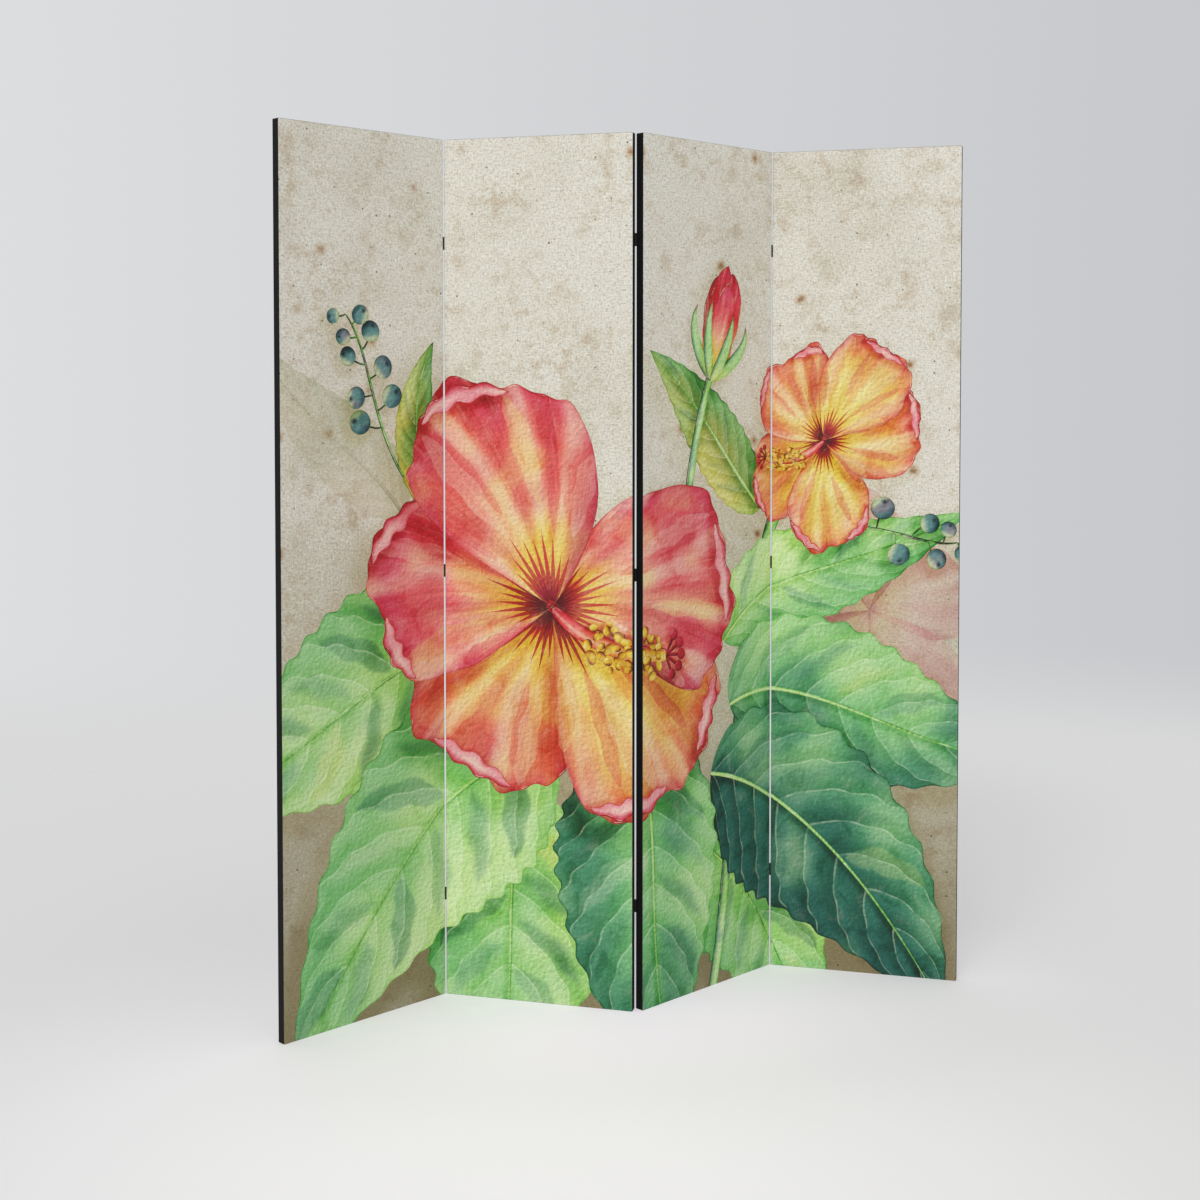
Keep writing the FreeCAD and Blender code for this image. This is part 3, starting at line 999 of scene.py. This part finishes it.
def print_triangles(width, height, left):
    """Triangles that fill one panel of the print, with the edges of every painted shape among theirs.

    The points are a grid of staggered rows, the panel's border, and the shapes' outlines.
    """
    size = np.array([width, height])
    rows, columns = (np.arange(1, int(side / print_grid)) * print_grid for side in (height, width))
    x, z = np.meshgrid(columns, rows)
    x = x + print_grid / 4 * (np.arange(len(rows)) % 2 * 2 - 1)[:, None]
    corners = size * ((0, 0), (1, 0), (1, 1), (0, 1))
    border = [np.linspace(a, b, int(np.hypot(*(b - a)) / print_grid), endpoint=False)
              for a, b in zip(corners, np.roll(corners, -1, axis=0))]
    points, sides = [np.column_stack([x.ravel(), z.ravel()])], []
    for loop in (np.vstack(border), *(layer.outline - (left, 0) for layer in print_layers)):
        its_points, its_sides = near_panel(loop, size, sum(map(len, points)))
        points.append(its_points)
        sides.append(its_sides)

    flat = [Vector(point) for point in (np.vstack(points) * to_mm).tolist()]
    sides = [tuple(side) for side in np.vstack(sides).tolist()]
    found = delaunay_2d_cdt(flat, sides, [], 0, same_mm, False)
    points = np.array([tuple(point) for point in found[0]]) / to_mm
    triangles = np.array(found[2])
    centres = points[triangles].mean(1)
    triangles = triangles[((centres > 0) & (centres < size)).all(1)]
    used, triangles = np.unique(triangles, return_inverse=True)
    points, triangles = np.clip(points[used], 0, size), triangles.reshape(-1, 3)
    a, b, c = (points[triangles[:, k]] for k in range(3))
    backward = np.cross(b - a, c - a) < 0
    return points, np.where(backward[:, None], triangles[:, ::-1], triangles)


def rim_of(triangles):
    """The closed ring of points round a patch of triangles, in the triangles' own direction."""
    count = int(triangles.max()) + 1
    sides = np.vstack([triangles[:, [0, 1]], triangles[:, [1, 2]], triangles[:, [2, 0]]])
    there, back = sides[:, 0] * count + sides[:, 1], sides[:, 1] * count + sides[:, 0]
    following = dict(sides[~np.isin(there, back)].tolist())
    ring = [next(iter(following))]
    while following[ring[-1]] != ring[0]:
        ring.append(following[ring[-1]])
    return np.array(ring)


def canvas_body(panel, flat, triangles):
    """Points and faces of a closed sheet as thick as the panel's canvas: the triangles on its front,
    walls round its rim, and one flat back. Gives the flat place of each of its points too."""
    ring = rim_of(triangles)
    front = panel.place(flat[:, 0], np.zeros(len(flat)), flat[:, 1])
    back = panel.place(flat[ring, 0], np.full(len(ring), panel.depth), flat[ring, 1])
    behind = np.arange(len(ring)) + len(front)
    walls = np.column_stack([ring, behind, np.roll(behind, -1), np.roll(ring, -1)])
    edges = [(k, (k + 1) % len(ring)) for k in range(len(ring))]
    rim = [Vector(point) for point in (flat[ring] * to_mm).tolist()]
    cap = np.array(delaunay_2d_cdt(rim, edges, [], 1, same_mm, False)[2])
    faces = [*triangles.tolist(), *walls.tolist(), *(cap[:, ::-1] + len(front)).tolist()]
    return np.vstack([front, back]), faces, np.vstack([flat, flat[ring]])


def printed_canvas(index, name):
    """One panel's canvas, with its part of the print painted on its front. Its rim and back are
    bare paper."""
    panel = Panel(name, "print_canvas")
    left = index * panel.width
    flat, triangles = print_triangles(panel.width, panel.height, left)
    painting = Painting(flat + (left, 0), triangles)
    for layer in print_layers:
        painting.add(layer)

    points, faces, places = canvas_body(panel, flat, triangles)
    piece = covering(name, "printed_canvas", points, faces, "print_canvas")
    mesh = piece.data
    every = places[corners_of(mesh)] + (left, 0)
    bare = every[len(painting.corner) :]
    tint = linear(np.clip(np.vstack([painting.colour, ground_colours(bare)]), 0, 255))
    give_layout(mesh, "print", every)
    give_layout(mesh, "stroke", np.vstack([painting.stroke, bare]))
    give_paint(mesh, "tint", np.column_stack([tint, np.append(painting.bare, np.ones(len(bare)))]))
    give_paint(mesh, "brush", np.vstack([painting.brush, plain(unbrushed, bare)]))
    return piece


def closed_sheet(front, back, rows, columns):
    """Points and faces of two facing grids joined round their rims, the front grid listed first."""
    number = np.arange(rows * columns).reshape(rows, columns)
    a, b = number[:-1, :-1].ravel(), number[:-1, 1:].ravel()
    c, d = number[1:, 1:].ravel(), number[1:, :-1].ravel()
    ring = np.concatenate([number[0, :-1], number[:-1, -1], number[-1, :0:-1], number[:0:-1, 0]])
    far = rows * columns
    quads = [np.column_stack([a, b, c, d]), np.column_stack([d, c, b, a]) + far]
    quads.append(np.column_stack([ring, ring + far, np.roll(ring, -1) + far, np.roll(ring, -1)]))
    return np.vstack([front, back]), np.vstack(quads).tolist()


most_draw = 0.0012
cloth_rows, cloth_columns = 181, 61


def back_cloth(name):
    """The cloth over a panel's back, which draws in between the stiles and rails.

    The draw at a point is most_draw times a smooth rise from the nearest piece of the frame,
    sideways and upwards.
    """
    panel = Panel(name, "back_cloth")
    stile = Panel(name, "left_stile").width
    rail = Panel(name, "top_rail").height
    middle_rail = Panel(name, "middle_rail").height
    steps = np.linspace(0, panel.height, cloth_rows), np.linspace(0, panel.width, cloth_columns)
    z, x = (grid.ravel() for grid in np.meshgrid(*steps, indexing="ij"))
    sideways = np.minimum(x, panel.width - x) - stile
    from_middle = abs(z - panel.height / 2) - middle_rail / 2
    upwards = np.minimum(np.minimum(z, panel.height - z) - rail, from_middle)
    draw = most_draw * smooth(sideways, 0.002, 0.05) * smooth(upwards, 0.002, 0.06)
    inner, outer = panel.place(x, -draw, z), panel.place(x, panel.depth - draw, z)
    points, faces = closed_sheet(inner, outer, cloth_rows, cloth_columns)
    piece = covering(name, "woven_back", points, faces, "back_cloth")
    corner = corners_of(piece.data) % len(x)
    clear = np.minimum(sideways, upwards)
    give_layout(piece.data, "cloth", np.column_stack([x, z])[corner])
    give_layout(piece.data, "timber", np.column_stack([clear, clear])[corner])
    return piece


tape_thickness = 0.0004
tape_corner = 0.0012
tape_seam = 0.0002
tape_step = 0.02


def edge_band(name):
    """The tape round a panel's four edges: a flat section with rounded long edges, carried along a
    rectangle with small round corners. Its two ends meet under the bottom edge."""
    panel = Panel(name, "edge_tape")
    half_w, half_h = panel.width / 2, panel.height / 2
    path, facing = [[tape_seam, -half_h]], [[0, -1.0]]
    for start, sx, sz in ((-90, 1, -1), (0, 1, 1), (90, -1, 1), (180, -1, -1)):
        angle = np.radians(start) + np.linspace(0, np.pi / 2, 6)
        way = np.column_stack([np.cos(angle), np.sin(angle)])
        centre = np.array([sx * (half_w - tape_corner), sz * (half_h - tape_corner)])
        path += (centre + tape_corner * way).tolist()
        facing += way.tolist()
    path, facing = np.array(path + [[-tape_seam, -half_h]]), np.array(facing + [[0, -1.0]])
    along = np.append(0, np.cumsum(np.hypot(*np.diff(path, axis=0).T)))
    evenly = np.linspace(0, along[-1], int(along[-1] / tape_step))
    stops = np.unique(np.concatenate([along, evenly]))
    path = np.column_stack([np.interp(stops, along, path[:, k]) for k in (0, 1)])
    facing = np.column_stack([np.interp(stops, along, facing[:, k]) for k in (0, 1)])

    bevel = tape_thickness * 0.45
    half, full, deep = tape_thickness / 2, tape_thickness, panel.depth
    across = np.array([0, 0, bevel, deep - bevel, deep, deep, deep - bevel, bevel])
    sunk = np.array([half, bevel, 0, 0, bevel, half, full, full])
    sides, stations = len(across), len(stops)
    plan = path[:, None, :] - facing[:, None, :] * sunk[None, :, None]
    x, z = (plan[..., 0] + half_w).ravel(), (plan[..., 1] + half_h).ravel()
    points = panel.place(x, np.tile(across, stations), z)
    ring, station = np.arange(sides), np.arange(stations - 1)[:, None] * sides
    following = np.roll(ring, -1)
    quads = [station + ring, station + following, station + sides + following, station + sides + ring]
    faces = np.stack(quads, 2).reshape(-1, 4).tolist()
    faces += [ring[::-1].tolist(), (ring + (stations - 1) * sides).tolist()]
    piece = covering(name, "edge_band", points, faces, "edge_tape")
    flat = np.column_stack([np.repeat(stops, sides), np.tile(across / deep, stations)])
    give_layout(piece.data, "tape", flat[corners_of(piece.data)])
    return piece


# Finishes, each after its colours. Pitches and the depths of relief are in metres

vein_pale = opaque(226, 240, 200)
strand_pale = opaque(196, 176, 150)
pool_pale = opaque(160, 156, 138)
glint_paper = opaque(238, 226, 206)
tooth_light = opaque(255, 250, 240)
tooth_dark = opaque(130, 120, 112)
grain_light = opaque(255, 254, 248)
grain_dark = opaque(160, 148, 128)
fibre_light = opaque(255, 254, 246)
fibre_dark = opaque(176, 164, 142)
mottle_brown = opaque(212, 188, 154)
speck_brown = opaque(106, 78, 56)
stain_tan = opaque(212, 176, 128)
stain_brown = opaque(178, 126, 80)
canvas_pitch = 0.0012083


def brushed(finish, place, paint, tint):
    """The paint's own marks: veins, strands along the stroke, pools, and dark or bare edges."""
    fade, noise = finish.fade, finish.noise
    marks, veins = finish.node("ShaderNodeAttribute", {"attribute_name": "brush"}, {}, ["Vector", "Alpha"])
    edge, streaks, vein = finish.split(marks)

    # side veins: a wash that deepens towards each vein, and a thin pale line along it
    step = finish.math("FRACT", vein + 0.045 * noise(place, 22, 3))
    deepening = fade(step, 0.25, 0.97) * veins
    line = (1 - fade(finish.math("ABSOLUTE", step - 0.03), 0.010, 0.05)) * veins * fade(edge, 0.1, 0.7)
    line = line * fade(noise(place, 34, 3), 0.30, 0.62)

    # brush marks along the stroke, and slow blotches where the wash pooled
    strands = noise(finish.stretched(finish.layout("stroke"), (7, 110, 1)), 1.0, 4, 0.6)
    strand = (strands - 0.5) * streaks
    pools = noise(place, 17, 5, 0.62, 0.9)

    # the pigment that dries along an edge: thin, dark, and broken where the brush was wet
    wander = edge + 0.10 * noise(place, 210, 2)
    rim = (1 - fade(wander, 0.11, 0.26)) * fade(noise(place, 30, 3), 0.34, 0.54)
    halo = fade(edge, 0.75, 0.15) * paint

    # these deepen the paint, as a power above 1 does, and leave its hue
    deeper = 1 + 0.30 * deepening + 0.9 * fade(strand, 0.02, 0.22)
    deeper = deeper + 0.34 * fade(pools, 0.50, 0.70) * paint + 1.25 * rim + 0.22 * halo
    colour = finish.node("ShaderNodeGamma", {}, {"Color": tint, "Gamma": deeper})

    # these lighten it, though not where it is dark
    red, green, blue = finish.split(tint)
    light = fade(red + green + blue, 0.06, 0.34)
    colour = finish.washed(
        colour, "SCREEN",
        (line * 0.26, vein_pale),
        (fade(strand, -0.02, -0.20) * light * 0.46, strand_pale),
        (fade(pools, 0.46, 0.30) * paint * light * 0.22, pool_pale),
    )

    # a bare glint beside the edge, here and there
    beside = fade(wander, 0.24, 0.30) * fade(wander, 0.44, 0.36) * fade(streaks, 0.30, 0.50)
    glint = beside * fade(noise(finish.stretched(place, offset=(3, 5, 0)), 26, 3), 0.54, 0.60)
    return finish.mix(glint * 0.6, colour, glint_paper)


def grained(finish, place, bare, paint, tint, colour, tooth):
    """The sheet itself: its tooth lit from the upper left, and its pulp of grains and fibres."""
    fade, noise = finish.fade, finish.noise
    lit = tooth - noise(finish.stretched(place, offset=(0.0022, -0.0022, 0)), 118, 2, 0.55)
    colour = finish.mix(fade(lit, 0.0, 0.20) * (0.04 + 0.38 * paint), colour, tooth_light, "SOFT_LIGHT")
    colour = finish.mix(fade(lit, 0.0, -0.20) * (0.03 + 0.20 * paint), colour, tooth_dark, "MULTIPLY")

    # grains, and short fibres that lie level and upright, fainter where age has darkened the paper
    red, green, blue = finish.split(tint)
    pulp = bare * (0.45 + 0.55 * fade(red + green + blue, 0.55, 1.9))
    grains = noise(place, 215, 3, 0.75)
    colour = finish.mix(fade(grains, 0.47, 0.74) * (0.16 + 0.42 * pulp), colour, grain_dark, "MULTIPLY")
    colour = finish.mix(fade(grains, 0.50, 0.26) * (0.10 + 0.56 * pulp), colour, grain_light, "SOFT_LIGHT")
    level = noise(finish.stretched(place, (80, 400, 1)), 1.0, 3, 0.6)
    upright = noise(finish.stretched(place, (400, 80, 1), (3, 1, 0)), 1.0, 3, 0.6)
    fibres = 0.5 * level + 0.5 * upright
    colour = finish.mix(fade(fibres, 0.50, 0.37) * (0.05 + 0.42 * pulp), colour, fibre_light, "SOFT_LIGHT")
    return finish.mix(fade(fibres, 0.50, 0.64) * (0.05 + 0.34 * pulp), colour, fibre_dark, "MULTIPLY")


def aged(finish, place, bare, colour):
    """Grainy brown patches, soft blotches, dark specks, and ragged tan stains with a darker core."""
    fade, noise = finish.fade, finish.noise
    patch = fade(noise(place, 5.5, 3, 0.6, 0.3), 0.43, 0.62)
    mottle = fade(noise(place, 26, 8, 0.74), 0.46, 0.64) * patch
    blotch = fade(noise(place, 14, 6, 0.68), 0.52, 0.68)
    gap, chance = finish.cells(place, 30)
    speck = fade(gap - 0.30 * (chance - 0.87), 0.042, 0.012) * fade(chance, 0.86, 0.87)
    gap, chance = finish.cells(place, 8.5)
    gap = gap + 0.12 * (noise(place, 130, 5, 0.75) - 0.5) + 0.12 * (noise(place, 38, 3) - 0.5)
    strength = fade(chance, 0.70, 0.90) * (0.04 + 0.74 * bare)
    return finish.washed(
        colour, "MULTIPLY",
        (mottle * (0.05 + 0.50 * bare), mottle_brown),
        (blotch * (0.03 + 0.30 * bare), mottle_brown),
        (speck * (0.15 + 0.70 * bare), speck_brown),
        (fade(gap, 0.17, 0.02) * strength, stain_tan),
        (fade(gap, 0.075, 0.0) * strength, stain_brown),
    )


def canvas_finish():
    """A matte print on canvas: aged paper with stains and flecks, and paint with brush marks, darker
    broken edges, veins, and a watercolour sheet's tooth."""
    finish = Finish("printed_canvas", Roughness=0.82)
    place = finish.layout("print")
    tint, bare = finish.node("ShaderNodeAttribute", {"attribute_name": "tint"}, {}, ["Color", "Alpha"])
    paint = 1 - bare
    tooth = finish.noise(place, 118, 2, 0.55)
    colour = brushed(finish, place, paint, tint)
    colour = grained(finish, place, bare, paint, tint, colour, tooth)
    colour = aged(finish, place, bare, colour)
    s, t, _ = finish.split(place)
    warp = finish.math("SINE", s * (full_turn / canvas_pitch))
    weft = finish.math("SINE", t * (full_turn / canvas_pitch))
    weave = warp * weft
    finish.wear(Base_Color=colour, Normal=finish.relief(0.5 + 0.18 * weave + 0.5 * tooth, 0.35, 0.0004))
    return finish


cloth_dark = opaque(22, 22, 23)
cloth_light = opaque(46, 46, 48)
slub_grey = opaque(60, 60, 62)
thread_grey = opaque(72, 72, 75)
thread_black = opaque(16, 16, 17)
dust_grey = opaque(84, 82, 80)
# paler grey over the timber: partly rubbing, partly a painted highlight where the cloth rides over the
# frame
rubbed_highlight_grey = opaque(74, 73, 72)
cloth_pitch = 0.0014


def cloth_finish():
    """A plain black weave, a little dusty, paler over the timber and most at the timber's edge: partly
    rubbed, and partly a painted highlight where the cloth rides over the frame.
    """
    finish = Finish("black_cloth", Roughness=0.92, Sheen_Weight=0.12, Sheen_Roughness=0.5)
    fade, noise = finish.fade, finish.noise
    place = finish.layout("cloth")
    x, z, _ = finish.split(place)
    warp = finish.math("SINE", x * (full_turn / cloth_pitch))
    weft = finish.math("SINE", z * (full_turn / cloth_pitch))
    weave = 0.5 + 0.25 * warp * weft + 0.15 * finish.math("ABSOLUTE", warp)
    slub = noise(finish.stretched(place, (600, 14, 1)), 1.0, 2)
    thick_warp = noise(finish.stretched(place, (150, 3, 1)), 1.0, 4, 0.6)
    thick_weft = noise(finish.stretched(place, (3, 150, 1), (7, 0, 0)), 1.0, 4, 0.6)
    # over the timber and at its edge the cloth is paler: partly rubbed, partly a painted highlight
    clear, _, _ = finish.split(finish.layout("timber"))
    held = fade(clear, 0.004, -0.003)
    edge = fade(clear, -0.004, 0.0) * fade(clear, 0.006, 0.001)
    rubbed = 0.30 * held * fade(noise(place, 11, 5, 0.65), 0.36, 0.66)
    rubbed = rubbed + 0.50 * edge * fade(noise(place, 30, 4, 0.6), 0.32, 0.62)
    colour = finish.washed(
        cloth_dark, "MIX",
        (fade(weave, 0.2, 0.85), cloth_light),
        (fade(slub, 0.55, 0.75) * 0.5, slub_grey),
        (fade(thick_warp, 0.48, 0.66) * 0.42, thread_grey),
        (fade(thick_weft, 0.48, 0.66) * 0.42, thread_grey),
        (fade(thick_warp, 0.46, 0.34) * 0.45, thread_black),
        (fade(noise(place, 7, 4, 0.6), 0.45, 0.8) * 0.22, dust_grey),
        (rubbed, rubbed_highlight_grey),
    )
    finish.wear(Base_Color=colour, Normal=finish.relief(weave, 0.6, 0.0003))
    return finish


tape_dark = opaque(8, 8, 9)
tape_light = opaque(19, 19, 20)
tape_rubbed = opaque(58, 57, 56)
rib_pitch = 0.0011


def tape_finish():
    """Black ribbed tape, rubbed a little paler along its edges."""
    finish = Finish("black_tape", Roughness=0.75, Specular_IOR_Level=0.2)
    place = finish.layout("tape")
    along, across, _ = finish.split(place)
    ribs = 0.5 + 0.5 * finish.math("SINE", along * (full_turn / rib_pitch))
    from_middle = finish.math("ABSOLUTE", across - 0.5)
    rub = finish.fade(from_middle, 0.40, 0.50) * finish.fade(finish.noise(place, 9, 3), 0.42, 0.66)
    colour = finish.washed(tape_dark, "MIX", (ribs, tape_light), (rub * 0.4, tape_rubbed))
    finish.wear(Base_Color=colour, Normal=finish.relief(ribs, 0.5, 0.0002))
    return finish


enamel_black = opaque(15, 15, 17)
enamel_worn = opaque(74, 72, 70)
steel_dark = opaque(70, 70, 74)
steel_bright = opaque(128, 126, 122)
screw_black = opaque(28, 28, 30)
screw_worn = opaque(110, 108, 104)


def metal_finish(name, dark, worn, metallic, roughness):
    """Blackened or painted steel with fine grain, and rubbed spots that show paler metal."""
    finish = Finish(name, Metallic=metallic)
    place = finish.place()
    grain = finish.noise(place, 900, 2)
    spots = finish.fade(finish.noise(place, 140, 4, 0.65), 0.56, 0.74)
    finish.wear(
        Base_Color=finish.mix(spots * 0.35, dark, worn),
        Roughness=roughness + 0.18 * grain - 0.08 * spots,
        Normal=finish.relief(grain, 0.25, 0.0001),
    )
    return finish


pine_pale = opaque(214, 178, 128)
pine_line = opaque(186, 140, 88)
pine_pore = opaque(140, 98, 58)


def pine_finish(name, scale):
    """Planed pine: growth lines drawn out along the axis with the small scale, and pores."""
    finish = Finish(name, Roughness=0.6)
    rings = finish.noise(finish.stretched(finish.place(), scale), 1.0, 4, 0.6, 0.6)
    lines = 0.5 + 0.5 * finish.math("SINE", rings * 42.0)
    pores = finish.noise(finish.stretched(finish.place(), (400, 400, 20)), 1.0, 2)
    pores = finish.fade(pores, 0.58, 0.75) * 0.35
    colour = finish.washed(pine_pale, "MIX", (lines, pine_line), (pores, pine_pore))
    finish.wear(Base_Color=colour, Normal=finish.relief(lines, 0.2, 0.0003))
    return finish


canvas, cloth, tape = canvas_finish(), cloth_finish(), tape_finish()
for index, name in enumerate(panel_names):
    put_on(printed_canvas(index, name), canvas)
    put_on(back_cloth(name), cloth)
    put_on(edge_band(name), tape)

finish_of = {
    "stile": pine_finish("pine_upright", (60, 60, 1.6)),
    "rail": pine_finish("pine_level", (1.6, 60, 60)),
    "leaf": metal_finish("black_hinge", enamel_black, enamel_worn, 0.0, 0.36),
    "pins": metal_finish("hinge_pin", steel_dark, steel_bright, 1.0, 0.30),
    "screws": metal_finish("black_screw", screw_black, screw_worn, 0.0, 0.30),
}
for name, node in frame["nodes"].items():
    kind = name.split("_")[-1]
    if kind in finish_of:
        put_on(node, finish_of[kind])


# Studio: a pale floor that fades into a pale backdrop, one soft lamp, and the camera

# Places and the floor's sizes are in metres, turns in degrees, and the lens and film in millimetres.
# The camera's place, turns and lens are fitted to the photograph. Its shift, a share of the film,
# leaves room above the screen in the other views.
floor_grey = opaque(201, 201, 202)
floor_half = 6.0
floor_fade = (1.6, 3.6)
wall_left = opaque(221, 222, 224)
wall_right = opaque(198, 200, 203)
wall_low = opaque(217, 217, 217)
even_level = 0.66
lamp_strength = 1.21
lamp_spread = 38
lamp_way = (-0.45, -0.75, 0.48)
camera_place = (-0.9464, -3.4333, 1.2668)
camera_yaw = 14.618
camera_tilt = 2.026
camera_lens, camera_film, camera_shift = 50.935, 36.0, -0.12


def staged(name, data):
    """A new object of the studio."""
    made = bpy.data.objects.new(name, data)
    bpy.context.scene.collection.objects.link(made)
    return made


def floor():
    """A pale floor, fully there under the screen, that fades to nothing in a wide ring round it.

    Seen by eye it glows with painted light: a wide pool before the screen, another under it, and a
    little red and blue close before its foot, against the green that the print throws there.
    """
    finish = Finish("studio_floor", Roughness=0.75, Base_Color=floor_grey, Emission_Strength=1.0)
    fade = finish.fade
    mesh = bpy.data.meshes.new("studio_floor")
    corners = [(x * floor_half, y * floor_half, 0) for x, y in ((-1, -1), (1, -1), (1, 1), (-1, 1))]
    mesh.from_pydata(corners, [], [(0, 1, 2, 3)])
    plane = staged("studio_floor", mesh)
    x, y, _ = finish.split(finish.place())

    def distance(middle_x, middle_y, squeeze):
        return (((x - middle_x) * squeeze) ** 2 + (y - middle_y) ** 2) ** 0.5

    # painted light: the floor's glow to the eye, in pools before and under the screen
    seen = finish.looked_at()
    lift = 0.196 + 0.192 * fade(distance(-0.34, -0.78, 1.0), 1.62, 0.0)
    lift = lift + 0.087 * fade(distance(0.11, 0.0, 0.53), 0.58, 0.09)
    warm = lift + 0.038 * fade(distance(0.05, -0.18, 0.45), 0.34, 0.05)
    grey = finish.node("ShaderNodeCombineXYZ", {}, {0: warm * seen, 1: lift * seen, 2: warm * seen})
    finish.wear(Emission_Color=grey, Alpha=1 - fade(distance(0.0, 0.0, 1.0), *floor_fade))
    put_on(plane, finish)


def backdrop():
    """The world: a soft grey, paler to the left and lower down, seen by eye and in reflections.
    Everything else is lit by one even level."""
    world = bpy.data.worlds.new("studio")
    bpy.context.scene.world = world
    world.use_nodes = True
    sky = Nodes(world.node_tree)
    x, y, z = sky.split(sky.node("ShaderNodeTexCoord", outputs=["Generated"]))
    yaw = np.radians(camera_yaw)
    sideways = x * float(np.cos(yaw)) - y * float(np.sin(yaw))
    wall = sky.mix(0.5 + 1.4 * sideways, wall_left, wall_right)
    wall = sky.mix(sky.fade(z, -0.135, -0.205), wall, wall_low)
    even = (even_level, even_level, even_level, 1.0)
    sky.fill(sky.nodes["Background"], {"Color": sky.mix(sky.looked_at(), even, wall), "Strength": 1.0})


def lamp():
    """A wide soft lamp from the front left, above."""
    light = bpy.data.lights.new("key", "SUN")
    light.energy = lamp_strength
    light.angle = np.radians(lamp_spread)
    key = staged("key", light)
    key.rotation_euler = Vector(lamp_way).to_track_quat("Z", "Y").to_euler()


def camera():
    """The camera, level but for its tilt, and turned about the upright by its yaw."""
    data = bpy.data.cameras.new("camera")
    data.lens, data.sensor_width, data.shift_y = camera_lens, camera_film, camera_shift
    eye = staged("camera", data)
    eye.location = camera_place
    eye.rotation_euler = (np.radians(90 - camera_tilt), 0, np.radians(-camera_yaw))
    bpy.context.scene.camera = eye


floor()
backdrop()
lamp()
camera()
bpy.context.scene.view_settings.view_transform = "Standard"
